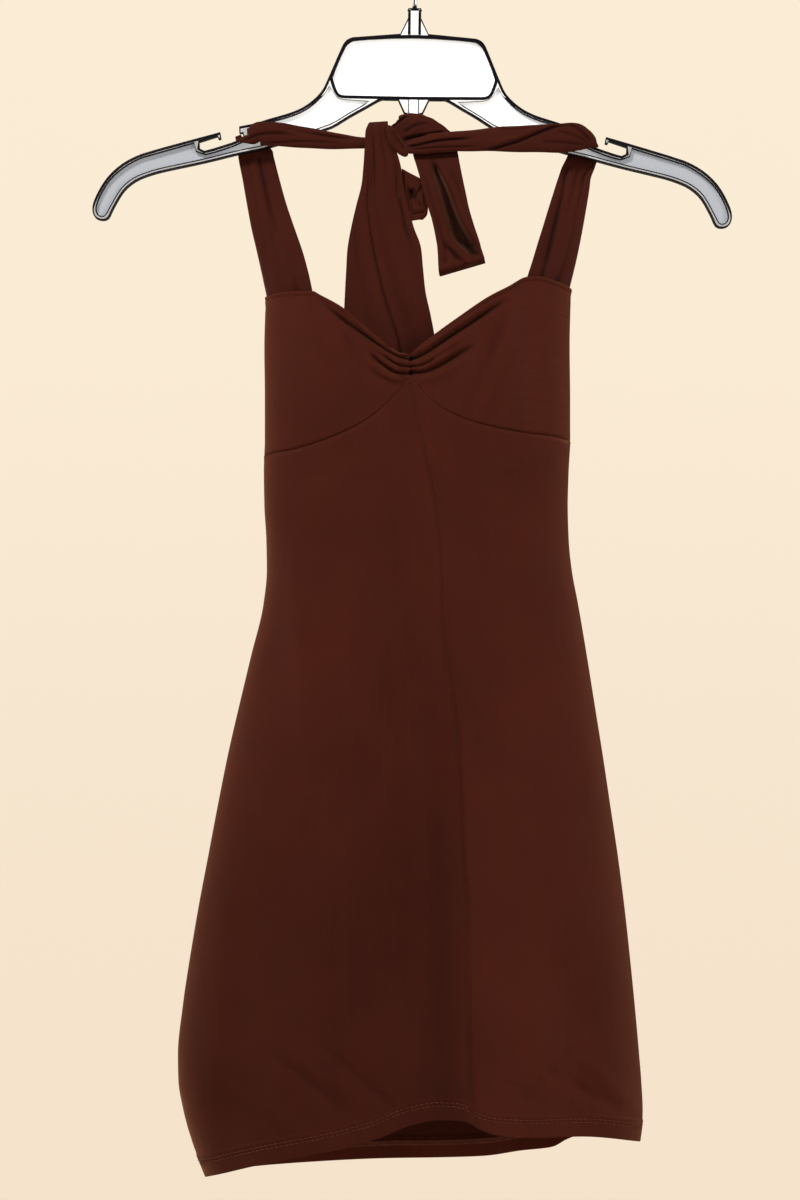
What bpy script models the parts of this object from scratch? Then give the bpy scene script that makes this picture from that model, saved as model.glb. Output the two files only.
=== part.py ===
# Halter dress hung by its neck ties on a clear moulded top hanger.
# Metres, +Z up, the front faces -Y, the hook's held point is the origin.
# Readings named across and down are taken on the front view in units of 0.676 mm,
# from an eye 2.6 m in front; a depth is measured behind the hanger's plane.
import math

import bmesh
import bpy
from mathutils import Matrix
from mathutils import Vector

for old in list(bpy.data.objects):
    bpy.data.objects.remove(old, do_unlink=True)

MM = 0.001
UNIT = 0.676 * MM
EYE_AWAY = 2600.0 * MM
EYE_X = -10.7 * MM
EYE_Z = -459.0 * MM
TILT = math.radians(0.72)

SEAM = 0.3 * MM
CLOTH = 1.2 * MM
HEM_CLOTH = 2.2 * MM
HEM_TALL = 22.0
RIBBON = 1.8 * MM

RIM_HALF = 4.0 * MM
WEB_HALF = 1.0 * MM
WIRE_RADIUS = 1.5 * MM
HOOK_INNER = 22.0 * MM
BOSS_TOP = -59.5 * MM

# down, left edge, right edge of the hanging tube
SIDES = [
    (270, 268, 571), (300, 266.5, 570), (348, 265, 569), (396, 265.5, 569.5), (440, 265.5, 569.5),
    (470, 264.5, 568), (505, 265, 567), (540, 267, 568), (570, 267.5, 571), (605, 264, 577.5),
    (655, 252, 586), (705, 240, 594), (755, 228.5, 602), (805, 218.5, 609.5), (855, 209, 617),
    (905, 199.5, 623.5), (955, 191, 629), (1005, 183.5, 634), (1055, 178.5, 638.5), (1080, 179, 640.5),
    (1110, 184, 642), (1145, 194, 638.5), (1180, 208, 634),
]
# down, depth in front of the sides, depth behind them (mm)
DEPTHS = [
    (270, 23, 28), (300, 25, 30), (350, 28, 33), (400, 30, 34), (450, 31, 34), (520, 31, 33),
    (600, 33, 35), (750, 38, 42), (900, 44, 50), (1050, 50, 57), (1180, 54, 61),
]
# across, down
NECK_FRONT = [
    (262, 301), (267, 297), (282, 292.6), (300, 291.4), (313, 291.2), (320, 294.8), (343, 307.7),
    (367, 329.4), (383, 342.4), (399, 352.9), (409.5, 354.4), (420, 346), (434, 334.8), (458, 317.5),
    (488, 297), (508, 286.6), (527, 276.9), (538, 276.3), (553, 280.5), (565, 285.6), (569.6, 288.8), (575, 304),
]
NECK_BACK = [
    (262, 294), (266.4, 298.4), (270, 312), (278, 332), (295, 358), (330, 382), (370, 391), (417, 394), (465, 390), (505, 380),
    (540, 356), (558, 326), (565, 306), (569.6, 289.4), (575, 286),
]
BUST_FRONT = [
    (262, 457.5), (271, 454.2), (293, 449.8), (321, 441.2), (345, 431.4), (367, 419.4), (384, 405.6),
    (399, 390.4), (410.5, 377.6), (417, 383.8), (428, 396.8), (445, 409.6), (467, 419.5), (488, 425.8),
    (521, 432.4), (553, 436.8), (574, 443.5),
]
BUST_BACK = [
    (262, 457.5), (300, 461), (360, 464), (418, 464), (480, 460), (540, 450), (574, 443.5),
]
HEM_FRONT = [
    (190, 1179), (212, 1175.5), (256, 1165.8), (298, 1157.5), (338, 1149.9), (362, 1143.5), (383, 1137),
    (400, 1129.5), (415, 1124.2), (440, 1120), (462, 1121), (470, 1123), (479, 1129), (498, 1135.5),
    (533, 1137.8), (584, 1136.5), (640, 1141.5),
]
HEM_BACK = [
    (190, 1179), (212, 1174), (252, 1166.5), (288, 1163.3), (338, 1160), (383, 1158), (447, 1157),
    (485, 1155.6), (520, 1150.5), (552, 1147), (568, 1138.7), (584, 1134.2), (610, 1134.6), (632, 1138.6), (640, 1141.5),
]
# down, across
CENTRE_SEAM = [
    (350, 409.5), (378, 410.5), (450, 424), (510, 436), (560, 441), (630, 442), (657, 447), (748, 459),
    (800, 462), (865, 464), (900, 466), (995, 468), (1090, 469.5), (1112, 472), (1130, 478),
]
# across at the top, across at the foot, top, foot, half width, height (mm, out from the wall)
FRONT_FOLDS = [
    (404, 441, 520, 1190, 24, -4.5), (482, 476, 620, 800, 16, 2.0), (294, 306, 540, 780, 18, 2.2),
    (486, 512, 800, 1190, 26, 3.4), (362, 346, 760, 1190, 30, 2.6), (246, 232, 840, 1190, 22, -2.4),
    (560, 590, 900, 1190, 22, -2.6), (300, 282, 900, 1190, 22, 1.8),
]
BACK_FOLDS = [
    (352, 322, 380, 1190, 28, 4.6), (428, 420, 400, 1190, 26, -5.2), (500, 522, 390, 1190, 28, 4.2),
    (292, 252, 600, 1190, 24, -3.4), (556, 590, 640, 1190, 24, -3.2),
]
# side (-1 left), depth below the neck at the seam, depth below further out, reach, size, half width (mm)
GATHERS = [
    (-1, 4.6, 3.6, 66, 1.1, 2.0), (-1, 10.4, 9.0, 18, 1.2, 1.9), (-1, 14.4, 17.4, 36, 1.6, 2.4),
    (1, 3.4, 4.6, 24, 0.9, 1.8), (1, 8.6, 12.2, 74, 2.0, 2.8), (1, 13.6, 26.0, 52, 1.5, 3.0),
]

# right half of the hanger seen level: x, z (mm)
HANGER_HALF = [
    (4.3, -59.5), (4.3, -66.1), (9.5, -76.9), (41.6, -79.7), (45.6, -81.6), (48.2, -85.0),
    (57.3, -106.4), (62.4, -116.8), (71.2, -125.1), (81.5, -130.6), (97.6, -135.6), (108, -138.9),
    (117.5, -140.9), (117.3, -145.3), (115.4, -145.1), (113.9, -148.4), (122.5, -151.9), (140.8, -157.6),
    (144.2, -156.0), (144.4, -151.6), (132.2, -147.6), (131.4, -149.6), (129.6, -149.1), (130.3, -144.9),
    (146.0, -149.3), (183.4, -160.3), (195.9, -166.9), (206.1, -176.4), (213.1, -188.1), (215.9, -196.9),
    (214.2, -203.2), (209.4, -205.2), (205.0, -203.6), (201.7, -196.9), (195.1, -185.6), (187.1, -178.6),
    (177.6, -174.4), (166.3, -171.2), (140.8, -165.4), (116.0, -159.0), (96.5, -154.5), (55.2, -140.8),
    (43.0, -133.4), (32.5, -127.4), (20.0, -120.7), (10.6, -121.2), (6.4, -130.4), (3.0, -131.2),
    (3.0, -137.5),
]
ARM_WEB = [
    (59.8, -117.6), (69.4, -127.0), (80.5, -133.0), (96.8, -138.0), (107.3, -141.3), (111.6, -142.6),
    (111.2, -149.8), (121.6, -154.5), (140.2, -160.3), (146.6, -158.0), (147.6, -152.5), (182.8, -162.9),
    (194.4, -169.3), (204.1, -178.1), (210.7, -189.2), (213.2, -197.4), (211.8, -201.4), (209.2, -202.4),
    (207.0, -201.2), (203.9, -195.5), (197.0, -183.7), (188.6, -176.4), (178.4, -171.9), (166.9, -168.7),
    (141.4, -162.9), (116.6, -156.5), (97.2, -152.0), (56.4, -138.4), (44.2, -131.1), (33.7, -125.0),
    (29.5, -122.6), (47.0, -121.6), (53.4, -118.2), (57.0, -112.4),
]
PLATE_WEB_HALF = [
    (0.0, -79.6), (41.2, -82.0), (46.2, -86.0), (54.7, -106.6), (53.6, -111.6), (50.8, -115.0),
    (46.6, -116.4), (0.0, -116.8),
]


def slopes(rows, column):
    """End-limited slopes that keep a curve from running past its readings."""
    gaps = [rows[i + 1][0] - rows[i][0] for i in range(len(rows) - 1)]
    rise = [(rows[i + 1][column] - rows[i][column]) / gaps[i] for i in range(len(rows) - 1)]
    out = [rise[0]]
    for i in range(1, len(rows) - 1):
        if rise[i - 1] * rise[i] <= 0:
            out.append(0.0)
        else:
            out.append(2 * rise[i - 1] * rise[i] / (rise[i - 1] + rise[i]))
    out.append(rise[-1])
    return out


KEPT = {}


def curve(rows, at, column=1):
    """Smooth value of a column between its readings."""
    key = (id(rows), column)
    if key not in KEPT:
        KEPT[key] = slopes(rows, column)
    slope = KEPT[key]
    if at <= rows[0][0]:
        return rows[0][column] + slope[0] * (at - rows[0][0]) * 0.5
    if at >= rows[-1][0]:
        return rows[-1][column] + slope[-1] * (at - rows[-1][0]) * 0.5
    i = 0
    while at > rows[i + 1][0]:
        i += 1
    gap = rows[i + 1][0] - rows[i][0]
    k = (at - rows[i][0]) / gap
    a, b = rows[i][column], rows[i + 1][column]
    rest = k * k * (3 - 2 * k)
    bend = k * (1 - k) * ((1 - k) * slope[i] - k * slope[i + 1]) * gap
    return a + (b - a) * rest + bend


def ease(k):
    k = min(1.0, max(0.0, k))
    return k * k * (3 - 2 * k)


def mix(a, b, k):
    return a + (b - a) * k


def seen(across, down, depth):
    """Place in the part of a front reading at a depth."""
    near = (EYE_AWAY + depth) / EYE_AWAY
    return Vector((EYE_X + (across - 400) * UNIT * near, depth, EYE_Z - (down - 600) * UNIT * near))


def across_of(turn, down):
    left, right = curve(SIDES, down, 1), curve(SIDES, down, 2)
    return (left + right) / 2 + (right - left) / 2 * math.sin(math.tau * turn)


def turn_of(across, down):
    left, right = curve(SIDES, down, 1), curve(SIDES, down, 2)
    share = (across - (left + right) / 2) / ((right - left) / 2)
    return math.asin(max(-1.0, min(1.0, share))) / math.tau


def folds(rows, across, down):
    out = 0.0
    for first, last, top, foot, wide, tall in rows:
        middle = mix(first, last, ease((down - top) / (foot - top)))
        held = ease((down - top) / 110) * ease((foot - down) / 110 + (1 if foot > 1150 else 0))
        out += tall * held * math.exp(-((across - middle) / wide) ** 2)
    return out


def gathers(across, down):
    """Small puckers that fan from the centre seam between the cups."""
    side = -1 if across < 409.8 else 1
    away = abs(across - 409.8) * 0.676
    below = (down - curve(NECK_FRONT, across)) * 0.676
    out = 0.0
    for where, near, far, reach, size, wide in GATHERS:
        if where != side:
            continue
        place = mix(near, far, ease(away / reach * 1.4))
        fade = 1 - ease(away / reach)
        spread = wide * (1 + 0.5 * away / reach)
        out -= size * fade * math.exp(-((below - place) / spread) ** 2)
    return out


def wall(turn, down):
    """Middle of the dress's cloth: turn runs 0 at the front, 0.25 at the right side, 0.5 at the back."""
    across = across_of(turn, down)
    c = math.cos(math.tau * turn)
    if c >= 0:
        deep = curve(DEPTHS, down, 1) * c * (1 + 0.35 * (1 - c * c))
        deep += folds(FRONT_FOLDS, across, down) * min(1.0, c * 2.2)
        if down < 470:
            cup = math.exp(-((abs(across - 410) - 82) / 48) ** 2 - ((down - 385) / 52) ** 2)
            dent = math.exp(-((across - 409.8) / 16) ** 2 - ((down - 362) / 26) ** 2)
            deep += 4.0 * cup - 2.6 * dent + gathers(across, down)
        depth = -deep * MM
    else:
        deep = curve(DEPTHS, down, 2) * -c * (1 + 0.25 * (1 - c * c))
        deep += folds(BACK_FOLDS, across, down) * min(1.0, -c * 2.2)
        depth = deep * MM
    return seen(across, down, depth)


def outward(turn, down):
    along = wall(turn + 0.0006, down) - wall(turn - 0.0006, down)
    drop = wall(turn, down + 0.6) - wall(turn, down - 0.6)
    out = drop.cross(along)
    out.normalize()
    return out


def turn_gap(turn, down, size):
    """Share of a turn that spans a size on the cloth."""
    along = (wall(turn + 0.0005, down) - wall(turn - 0.0005, down)).length / 0.001
    return size / along


def edge_at(rows, turn, down):
    return curve(rows, across_of(turn, down))


def settle(rows, turn, start):
    """Height of an edge that is read across the front view."""
    down = start
    for _ in range(6):
        down = edge_at(rows, turn, down)
    return down


def seam_step(rows, turn, down):
    """Reading that leaves half a seam gap square to a sloping edge."""
    across = across_of(turn, down)
    slope = (curve(rows, across + 1.0) - curve(rows, across - 1.0)) / 2.0
    return 0.5 * SEAM / UNIT * math.hypot(1.0, slope) * 1.05


def centre_turn(down):
    return turn_of(curve(CENTRE_SEAM, down), down)


SLOTS = {}
LOOKS = {
    "jersey": (0.066, 0.018, 0.010, 0.85), "tie_jersey": (0.052, 0.014, 0.008, 0.85),
    "clear_plastic": (0.72, 0.74, 0.75, 0.18), "steel": (0.60, 0.61, 0.62, 0.25),
}


def slot(name):
    if name not in SLOTS:
        red, green, blue, rough = LOOKS[name]
        made = bpy.data.materials.new(name)
        made.use_nodes = True
        shade = made.node_tree.nodes["Principled BSDF"]
        shade.inputs["Base Color"].default_value = (red, green, blue, 1.0)
        shade.inputs["Roughness"].default_value = rough
        shade.inputs["Metallic"].default_value = 1.0 if name == "steel" else 0.0
        made.diffuse_color = (red, green, blue, 1.0)
        SLOTS[name] = made
    return SLOTS[name]


def finish(name, verts, faces, look):
    """Makes one closed body with its faces outward."""
    mesh = bpy.data.meshes.new(name)
    mesh.from_pydata([tuple(v) for v in verts], [], faces)
    work = bmesh.new()
    work.from_mesh(mesh)
    bmesh.ops.recalc_face_normals(work, faces=work.faces)
    if work.calc_volume(signed=True) < 0:
        bmesh.ops.reverse_faces(work, faces=work.faces)
    bmesh.ops.triangulate(work, faces=work.faces)
    work.to_mesh(mesh)
    work.free()
    mesh.shade_smooth()
    mesh.materials.append(slot(look))
    body = bpy.data.objects.new(name, mesh)
    bpy.context.collection.objects.link(body)
    return body


def body_of(name, outer, inner, look):
    """Closes two matching grids of points into a cloth wall."""
    rows, cols = len(outer), len(outer[0])
    verts = [p for row in outer for p in row] + [p for row in inner for p in row]
    base = rows * cols
    faces = []
    for i in range(rows - 1):
        for j in range(cols - 1):
            a = i * cols + j
            faces.append((a, a + 1, a + cols + 1, a + cols))
            faces.append((base + a, base + a + cols, base + a + cols + 1, base + a + 1))
    rim = [j for j in range(cols)]
    rim += [i * cols + cols - 1 for i in range(1, rows)]
    rim += [(rows - 1) * cols + j for j in range(cols - 2, -1, -1)]
    rim += [i * cols for i in range(rows - 2, 0, -1)]
    for a, b in zip(rim, rim[1:] + rim[:1]):
        faces.append((a, base + a, base + b, b))
    return finish(name, verts, faces, look)


def dress_panel(name, place, rows, cols, look="jersey", thick=None):
    """One cut piece of the tube; place gives turn and down from shares across and down the piece."""
    outer, inner = [], []
    for i in range(rows + 1):
        front, back = [], []
        for j in range(cols + 1):
            turn, down = place(j / cols, i / rows)
            half = (thick(turn, down) if thick else CLOTH) / 2
            middle, out = wall(turn, down), outward(turn, down)
            front.append(middle + out * half)
            back.append(middle - out * half)
        outer.append(front)
        inner.append(back)
    return body_of(name, outer, inner, look)


def cup_place(first, last):
    """Rows crowd below the neck, where the puckers are."""
    def place(u, v):
        turn = mix(first(u, v), last(u, v), u)
        top = settle(NECK_FRONT, turn, 320)
        foot = settle(BUST_FRONT, turn, 430)
        foot -= seam_step(BUST_FRONT, turn, foot)
        tall = foot - top
        near = min(tall, 42.0)
        return turn, top + near * v + (tall - near) * v ** 3
    return place


def side_turn(sign, low):
    """Turn of a side seam less half the seam gap, on the front for low 1 and on the back for low -1."""
    def at(down):
        return sign * (0.25 - low * turn_gap(sign * 0.25, down, 0.5 * SEAM))
    return at


def centre_side(sign):
    """Turn of the centre seam moved half the seam gap to one side."""
    def at(down):
        turn = centre_turn(down)
        return turn + sign * turn_gap(turn, down, 0.5 * SEAM)
    return at


def near_down(top, foot):
    return lambda v: mix(top, foot, v)


cup_mid = near_down(354, 378)
cup_out = near_down(300, 450)
left_side, right_side = side_turn(-1, 1), side_turn(1, 1)
centre_left, centre_right = centre_side(-1), centre_side(1)
dress_panel("cup_left", cup_place(lambda u, v: left_side(cup_out(v)), lambda u, v: centre_left(cup_mid(v))), 14, 18)
dress_panel("cup_right", cup_place(lambda u, v: centre_right(cup_mid(v)), lambda u, v: right_side(cup_out(v))), 14, 18)


def bodice_back(u, v):
    first = 0.25 + turn_gap(0.25, cup_out(v), 0.5 * SEAM)
    last = 0.75 - turn_gap(0.75, cup_out(v), 0.5 * SEAM)
    turn = mix(first, last, u)
    top = settle(NECK_BACK, turn, 360)
    foot = settle(BUST_BACK, turn, 455)
    foot -= seam_step(BUST_BACK, turn, foot)
    return turn, mix(top, foot, v)


dress_panel("bodice_back", bodice_back, 6, 26)


def skirt_row(v, rows):
    """Share down the skirt: even rows, then a short step into the turned hem."""
    step = round(v * rows)
    if step <= rows - 2:
        return 0, step / (rows - 2)
    return (1, 0.0) if step == rows - 1 else (2, 0.0)


def skirt_down(top, foot, v, rows):
    kind, share = skirt_row(v, rows)
    if kind == 0:
        return mix(top, foot - HEM_TALL - 1.6, share)
    return foot - HEM_TALL if kind == 1 else foot


def skirt_front(first, last, rows):
    def place(u, v):
        turn = 0.0
        down = mix(430, 1140, v)
        for _ in range(4):
            turn = mix(first(down), last(down), u)
            top = settle(BUST_FRONT, turn, 430)
            top += seam_step(BUST_FRONT, turn, top)
            foot = settle(HEM_FRONT, turn, 1140)
            down = skirt_down(top, foot, v, rows)
        return turn, down
    return place


def skirt_back(rows):
    def place(u, v):
        guess = mix(430, 1140, v)
        turn = mix(0.25 + turn_gap(0.25, guess, 0.5 * SEAM), 0.75 - turn_gap(0.75, guess, 0.5 * SEAM), u)
        top = settle(BUST_BACK, turn, 455)
        top += seam_step(BUST_BACK, turn, top)
        foot = settle(HEM_BACK, turn, 1150)
        return turn, skirt_down(top, foot, v, rows)
    return place


def hem_thick(rows):
    def thick(turn, down):
        return HEM_CLOTH if down > settle(rows, turn, 1140) - HEM_TALL - 0.2 else CLOTH
    return thick


ROWS = 19
dress_panel("skirt_front_left", skirt_front(left_side, centre_left, ROWS), ROWS, 20, thick=hem_thick(HEM_FRONT))
dress_panel("skirt_front_right", skirt_front(centre_right, right_side, ROWS), ROWS, 18, thick=hem_thick(HEM_FRONT))
dress_panel("skirt_back", skirt_back(ROWS), ROWS, 34, thick=hem_thick(HEM_BACK))


def grid_sheet(name, grid, thick, look="tie_jersey"):
    """Cloth wall about a grid of middle points, with a thickness for each row."""
    rows, cols = len(grid), len(grid[0])
    outer, inner = [], []
    for i in range(rows):
        front, back = [], []
        for j in range(cols):
            along = grid[min(i + 1, rows - 1)][j] - grid[max(i - 1, 0)][j]
            wide = grid[i][min(j + 1, cols - 1)] - grid[i][max(j - 1, 0)]
            out = along.cross(wide)
            out.normalize()
            front.append(grid[i][j] + out * thick[i] / 2)
            back.append(grid[i][j] - out * thick[i] / 2)
        outer.append(front)
        inner.append(back)
    return body_of(name, outer, inner, look)


def strap(name, rows, notch, cols):
    """Doubled strip that rises from a cup, goes up behind the arm and forward through its notch.
    A row is down, left edge, right edge, share of the way to the back of the arm.
    A notch row is left across, left down, right across, right down, depth (mm), thickness (mm)."""
    behind = RIM_HALF + SEAM + RIBBON / 2
    lowest = rows[0]
    grid, thick = [], []
    for down, left, right, back in rows:
        line = []
        for j in range(cols + 1):
            k = j / cols
            across = mix(left, right, k)
            foot = mix(lowest[1], lowest[2], k)
            neck_down = curve(NECK_FRONT, foot)
            start = wall(turn_of(foot, neck_down), neck_down).y
            level = neck_down - 1.15 * SEAM / UNIT if down is None else down
            slack = 1.2 * MM * math.sin(k * math.pi * 3 + level * 0.02) * ease((1 - back) * 2) * ease(back * 3)
            line.append(seen(across, level, mix(start, behind, ease(back)) + slack))
        grid.append(line)
        thick.append(RIBBON)
    for left, left_down, right, right_down, depth, heavy in notch:
        ks = [j / cols for j in range(cols + 1)]
        grid.append([seen(mix(left, right, k), mix(left_down, right_down, k), depth * MM) for k in ks])
        thick.append(heavy * MM)
    return grid_sheet(name, grid, thick)


strap("strap_left", [
    (None, 267.3, 312.6, 0.0), (272, 262.0, 308.2, 0.16), (250, 257.0, 302.2, 0.34), (228, 251.8, 294.4, 0.52),
    (204, 247.2, 285.8, 0.70), (180, 242.8, 278.4, 0.86), (164, 239.8, 273.4, 1.0), (154, 238.6, 269.8, 1.0)], [
    (237.6, 147.5, 262.0, 146.0, 5.3, 1.8), (236.4, 142.8, 250.0, 140.4, 5.3, 2.0),
    (235.8, 139.8, 242.8, 137.4, 5.5, 2.2), (235.6, 139.3, 241.4, 137.1, 4.2, 2.4),
    (235.6, 139.3, 241.6, 137.0, 1.6, 2.5), (235.6, 138.9, 241.6, 136.6, -1.6, 2.5),
    (235.6, 138.3, 241.6, 136.0, -4.8, 2.3)], 6)
strap("strap_right", [
    (None, 527.6, 569.2, 0.0), (262, 532.2, 575.4, 0.16), (238, 539.4, 580.4, 0.36), (214, 546.8, 584.8, 0.56),
    (190, 554.4, 588.9, 0.76), (178, 558.2, 590.6, 0.90), (168, 561.6, 594.6, 1.0), (160, 565.6, 597.2, 1.0)], [
    (569.6, 152.6, 597.2, 154.2, 5.3, 1.8), (578.0, 146.6, 596.6, 151.2, 5.3, 2.0),
    (584.6, 141.9, 595.2, 147.0, 5.5, 2.2), (585.4, 141.4, 594.6, 145.8, 4.2, 2.4),
    (585.2, 141.4, 594.6, 145.4, 1.6, 2.5), (585.2, 140.9, 594.6, 144.9, -1.6, 2.5),
    (585.2, 140.3, 594.6, 144.3, -4.8, 2.3)], 6)


def roll(name, rows, around, look="tie_jersey"):
    """Rolled strip along a path; a row is across, down, depth (mm), half width, half thickness (mm)."""
    rings = []
    for i, (across, down, depth, wide, deep) in enumerate(rows):
        a, b = rows[max(i - 1, 0)], rows[min(i + 1, len(rows) - 1)]
        run = Vector((b[0] - a[0], 0, -(b[1] - a[1])))
        run.normalize()
        side = Vector((-run.z, 0, run.x))
        middle = seen(across, down, depth * MM)
        ring = []
        for j in range(around):
            angle = math.tau * j / around
            ring.append(middle + side * wide * UNIT * math.cos(angle) + Vector((0, deep * MM * math.sin(angle), 0)))
        rings.append(ring)
    verts = [p for ring in rings for p in ring]
    faces = []
    for i in range(len(rings) - 1):
        for j in range(around):
            k = (j + 1) % around
            faces.append((i * around + j, i * around + k, (i + 1) * around + k, (i + 1) * around + j))
    faces.append(tuple(range(around)))
    faces.append(tuple((len(rings) - 1) * around + j for j in range(around - 1, -1, -1)))
    return finish(name, verts, faces, look)


roll("tie_left", [
    (237.5, 139.6, -7.8, 1.6, 1.6), (241, 136.6, -8.0, 5.4, 2.6), (248, 134.4, -8.0, 9.2, 3.2),
    (258, 133.6, -8.0, 11.4, 3.5), (270, 133.8, -8.0, 12.2, 3.6), (286, 135.2, -8.0, 11.6, 3.5),
    (304, 137.4, -8.0, 10.6, 3.4), (322, 139.6, -7.8, 9.4, 3.3), (340, 141.4, -7.6, 7.8, 3.1),
    (358, 142.8, -7.6, 5.9, 3.0), (374, 142.6, -7.6, 5.4, 2.9), (388, 141.0, -7.6, 5.2, 2.8),
    (394, 140.4, -7.6, 3.6, 2.2)], 12)
roll("tie_right", [
    (596.5, 146.0, -7.7, 1.8, 1.6), (592, 142.6, -7.9, 6.2, 2.6), (584, 139.2, -8.1, 11.0, 3.3),
    (574, 137.4, -8.2, 14.2, 3.7), (560, 138.0, -8.3, 14.6, 3.8), (542, 138.6, -8.3, 13.9, 3.8),
    (522, 138.8, -8.3, 13.3, 3.8), (502, 139.1, -8.3, 12.6, 3.8), (484, 139.7, -8.3, 11.5, 3.8),
    (466, 141.2, -8.3, 10.9, 3.8), (451, 142.0, -8.3, 10.8, 3.9), (438, 140.4, -8.5, 13.0, 4.1),
    (426, 137.2, -8.7, 16.4, 4.3), (414, 133.4, -8.9, 19.8, 4.5), (405, 133.0, -8.9, 18.4, 4.3),
    (399, 134.6, -8.7, 12.2, 3.4), (397, 135.6, -8.7, 7.0, 2.4)], 12)
roll("knot_wrap", [
    (389.6, 120.8, -16.1, 3.2, 1.2), (391.4, 124.6, -16.3, 7.4, 2.0), (395.6, 131.6, -16.5, 9.4, 2.5),
    (400.4, 139.6, -16.5, 9.6, 2.6), (405.4, 147.4, -16.3, 8.8, 2.4), (408.8, 152.4, -15.9, 6.4, 1.8),
    (410.2, 154.8, -15.5, 2.8, 1.2)], 10)


def ribbon(name, rows, cols, wave, look="tie_jersey"):
    """Flat doubled strip; a row is left across, left down, right across, right down, depth (mm)."""
    grid = []
    for left, left_down, right, right_down, depth in rows:
        line = []
        for j in range(cols + 1):
            k = j / cols
            across, down = mix(left, right, k), mix(left_down, right_down, k)
            line.append(seen(across, down, (depth + wave(k, down, depth)) * MM))
        grid.append(line)
    return grid_sheet(name, grid, [RIBBON] * len(grid), look)


def tail_wave(k, down, depth):
    """A long pleat near the left edge that widens as it falls."""
    if down < 158:
        return 0.0
    held = ease((down - 158) / 60)
    pleat = math.exp(-((k - mix(0.34, 0.52, ease((down - 180) / 170))) / 0.17) ** 2)
    return held * (2.2 * math.cos(k * math.tau * 1.2 + 0.6) - 2.8 * pleat + 0.9)


ribbon("tail_left", [
    (367, 150, 387, 150, -3.3), (366, 140, 388, 140, -3.2), (366, 131, 388, 130, -3.7), (368, 125.4, 388, 124.4, -5.6),
    (369, 123.6, 388, 122.4, -8.2), (367.5, 126.0, 388, 124.6, -11.0), (366, 132, 389, 130, -12.7),
    (365, 140, 391, 140, -13.2), (364.4, 152, 394, 151, -13.4), (363.4, 168, 399, 168, -13.4),
    (361.6, 186, 403.6, 188, -13.2), (356.4, 206, 408.4, 208, -13.0), (351.6, 226, 414, 228, -12.8),
    (347.6, 248, 420.6, 246, -12.4), (346.2, 270, 423, 268, -12.0), (345, 292, 425.6, 292, -11.4),
    (344, 314, 430.4, 314, -10.8), (343.6, 338, 434.8, 338, -10.2), (343.2, 366, 438, 366, -9.8),
    (343, 400, 440, 402, -9.4), (343, 430, 441, 436, -9.0)], 10, tail_wave)


def loop_wave(k, down, depth):
    """The front ply stands out along a ridge and sinks beside it."""
    if depth > -9.9:
        return 0.0
    held = ease((down - 165) / 40) * ease((272 - down) / 26)
    return held * (-2.4 * math.exp(-((k - 0.34) / 0.16) ** 2) + 2.8 * math.exp(-((k - 0.70) / 0.15) ** 2))


ribbon("loop_right", [
    (413, 146, 457, 146, -2.9), (413, 154, 458, 154, -4.0), (416, 164, 460, 165, -8.0), (420, 178, 463, 180, -10.4),
    (424, 193, 466, 194, -12.2), (428, 207, 469, 208, -13.4), (432.6, 222, 472.4, 220, -13.8),
    (436, 236, 476, 232, -13.8), (437.6, 252, 480, 244, -13.8), (438.2, 265, 483, 254, -13.6),
    (438.8, 272, 484.6, 259, -12.6), (439.4, 275.4, 485.2, 262, -10.0), (439.2, 273.6, 484.8, 260.4, -7.4),
    (438.6, 267, 483.4, 255, -5.6), (437.6, 250, 479, 243, -4.4), (434.6, 232, 474.4, 228, -3.4),
    (430, 212, 469, 212, -2.4), (424.6, 190, 464.6, 192, -1.4), (419, 168, 460, 170, -0.4), (415, 146, 457, 146, 0.4)],
    8, loop_wave)


def sling_wave(k, down, depth):
    return -1.4 * math.sin(k * math.pi)


ribbon("knot_sling", [
    (401.6, 177.0, 425.6, 194.0, -9.9), (402.0, 186.0, 426.0, 199.0, -9.6), (403.0, 197.0, 426.2, 204.0, -9.4),
    (404.6, 208.0, 426.4, 208.6, -9.4), (407.4, 216.0, 425.6, 213.6, -9.4), (411.0, 221.4, 423.6, 218.6, -9.4)],
    6, sling_wave)


def mirrored(half):
    return [(x, z) for x, z in half] + [(-x, z) for x, z in reversed(half) if x > 0]


def hanger_body():
    """Moulded outline with a raised rim round three thin webs."""
    outer = mirrored(HANGER_HALF)
    inner = [ARM_WEB, [(-x, z) for x, z in ARM_WEB], mirrored(PLATE_WEB_HALF)]
    turn = Matrix.Rotation(TILT, 3, 'Y')
    work = bmesh.new()

    def ring(points, depth):
        made = [work.verts.new(turn @ Vector((x * MM, depth, z * MM))) for x, z in points]
        edges = [work.edges.new((a, b)) for a, b in zip(made, made[1:] + made[:1])]
        return made, edges

    def skirt(a, b):
        for i in range(len(a)):
            k = (i + 1) % len(a)
            work.faces.new((a[i], a[k], b[k], b[i]))

    sides = []
    for sign in (-1, 1):
        out_verts, out_edges = ring(outer, sign * RIM_HALF)
        edges = list(out_edges)
        for points in inner:
            rim_verts, rim_edges = ring(points, sign * RIM_HALF)
            web_verts, web_edges = ring(points, sign * WEB_HALF)
            edges += rim_edges
            skirt(rim_verts, web_verts)
            bmesh.ops.triangle_fill(work, edges=web_edges, use_beauty=True)
        bmesh.ops.triangle_fill(work, edges=edges, use_beauty=True)
        sides.append(out_verts)
    skirt(sides[0], sides[1])
    bmesh.ops.recalc_face_normals(work, faces=work.faces)
    work.verts.index_update()
    verts = [v.co.copy() for v in work.verts]
    faces = [tuple(v.index for v in f.verts) for f in work.faces]
    work.free()
    made = finish("hanger_body", verts, faces, "clear_plastic")
    made.data.shade_flat()
    return made


hanger_body()


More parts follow.
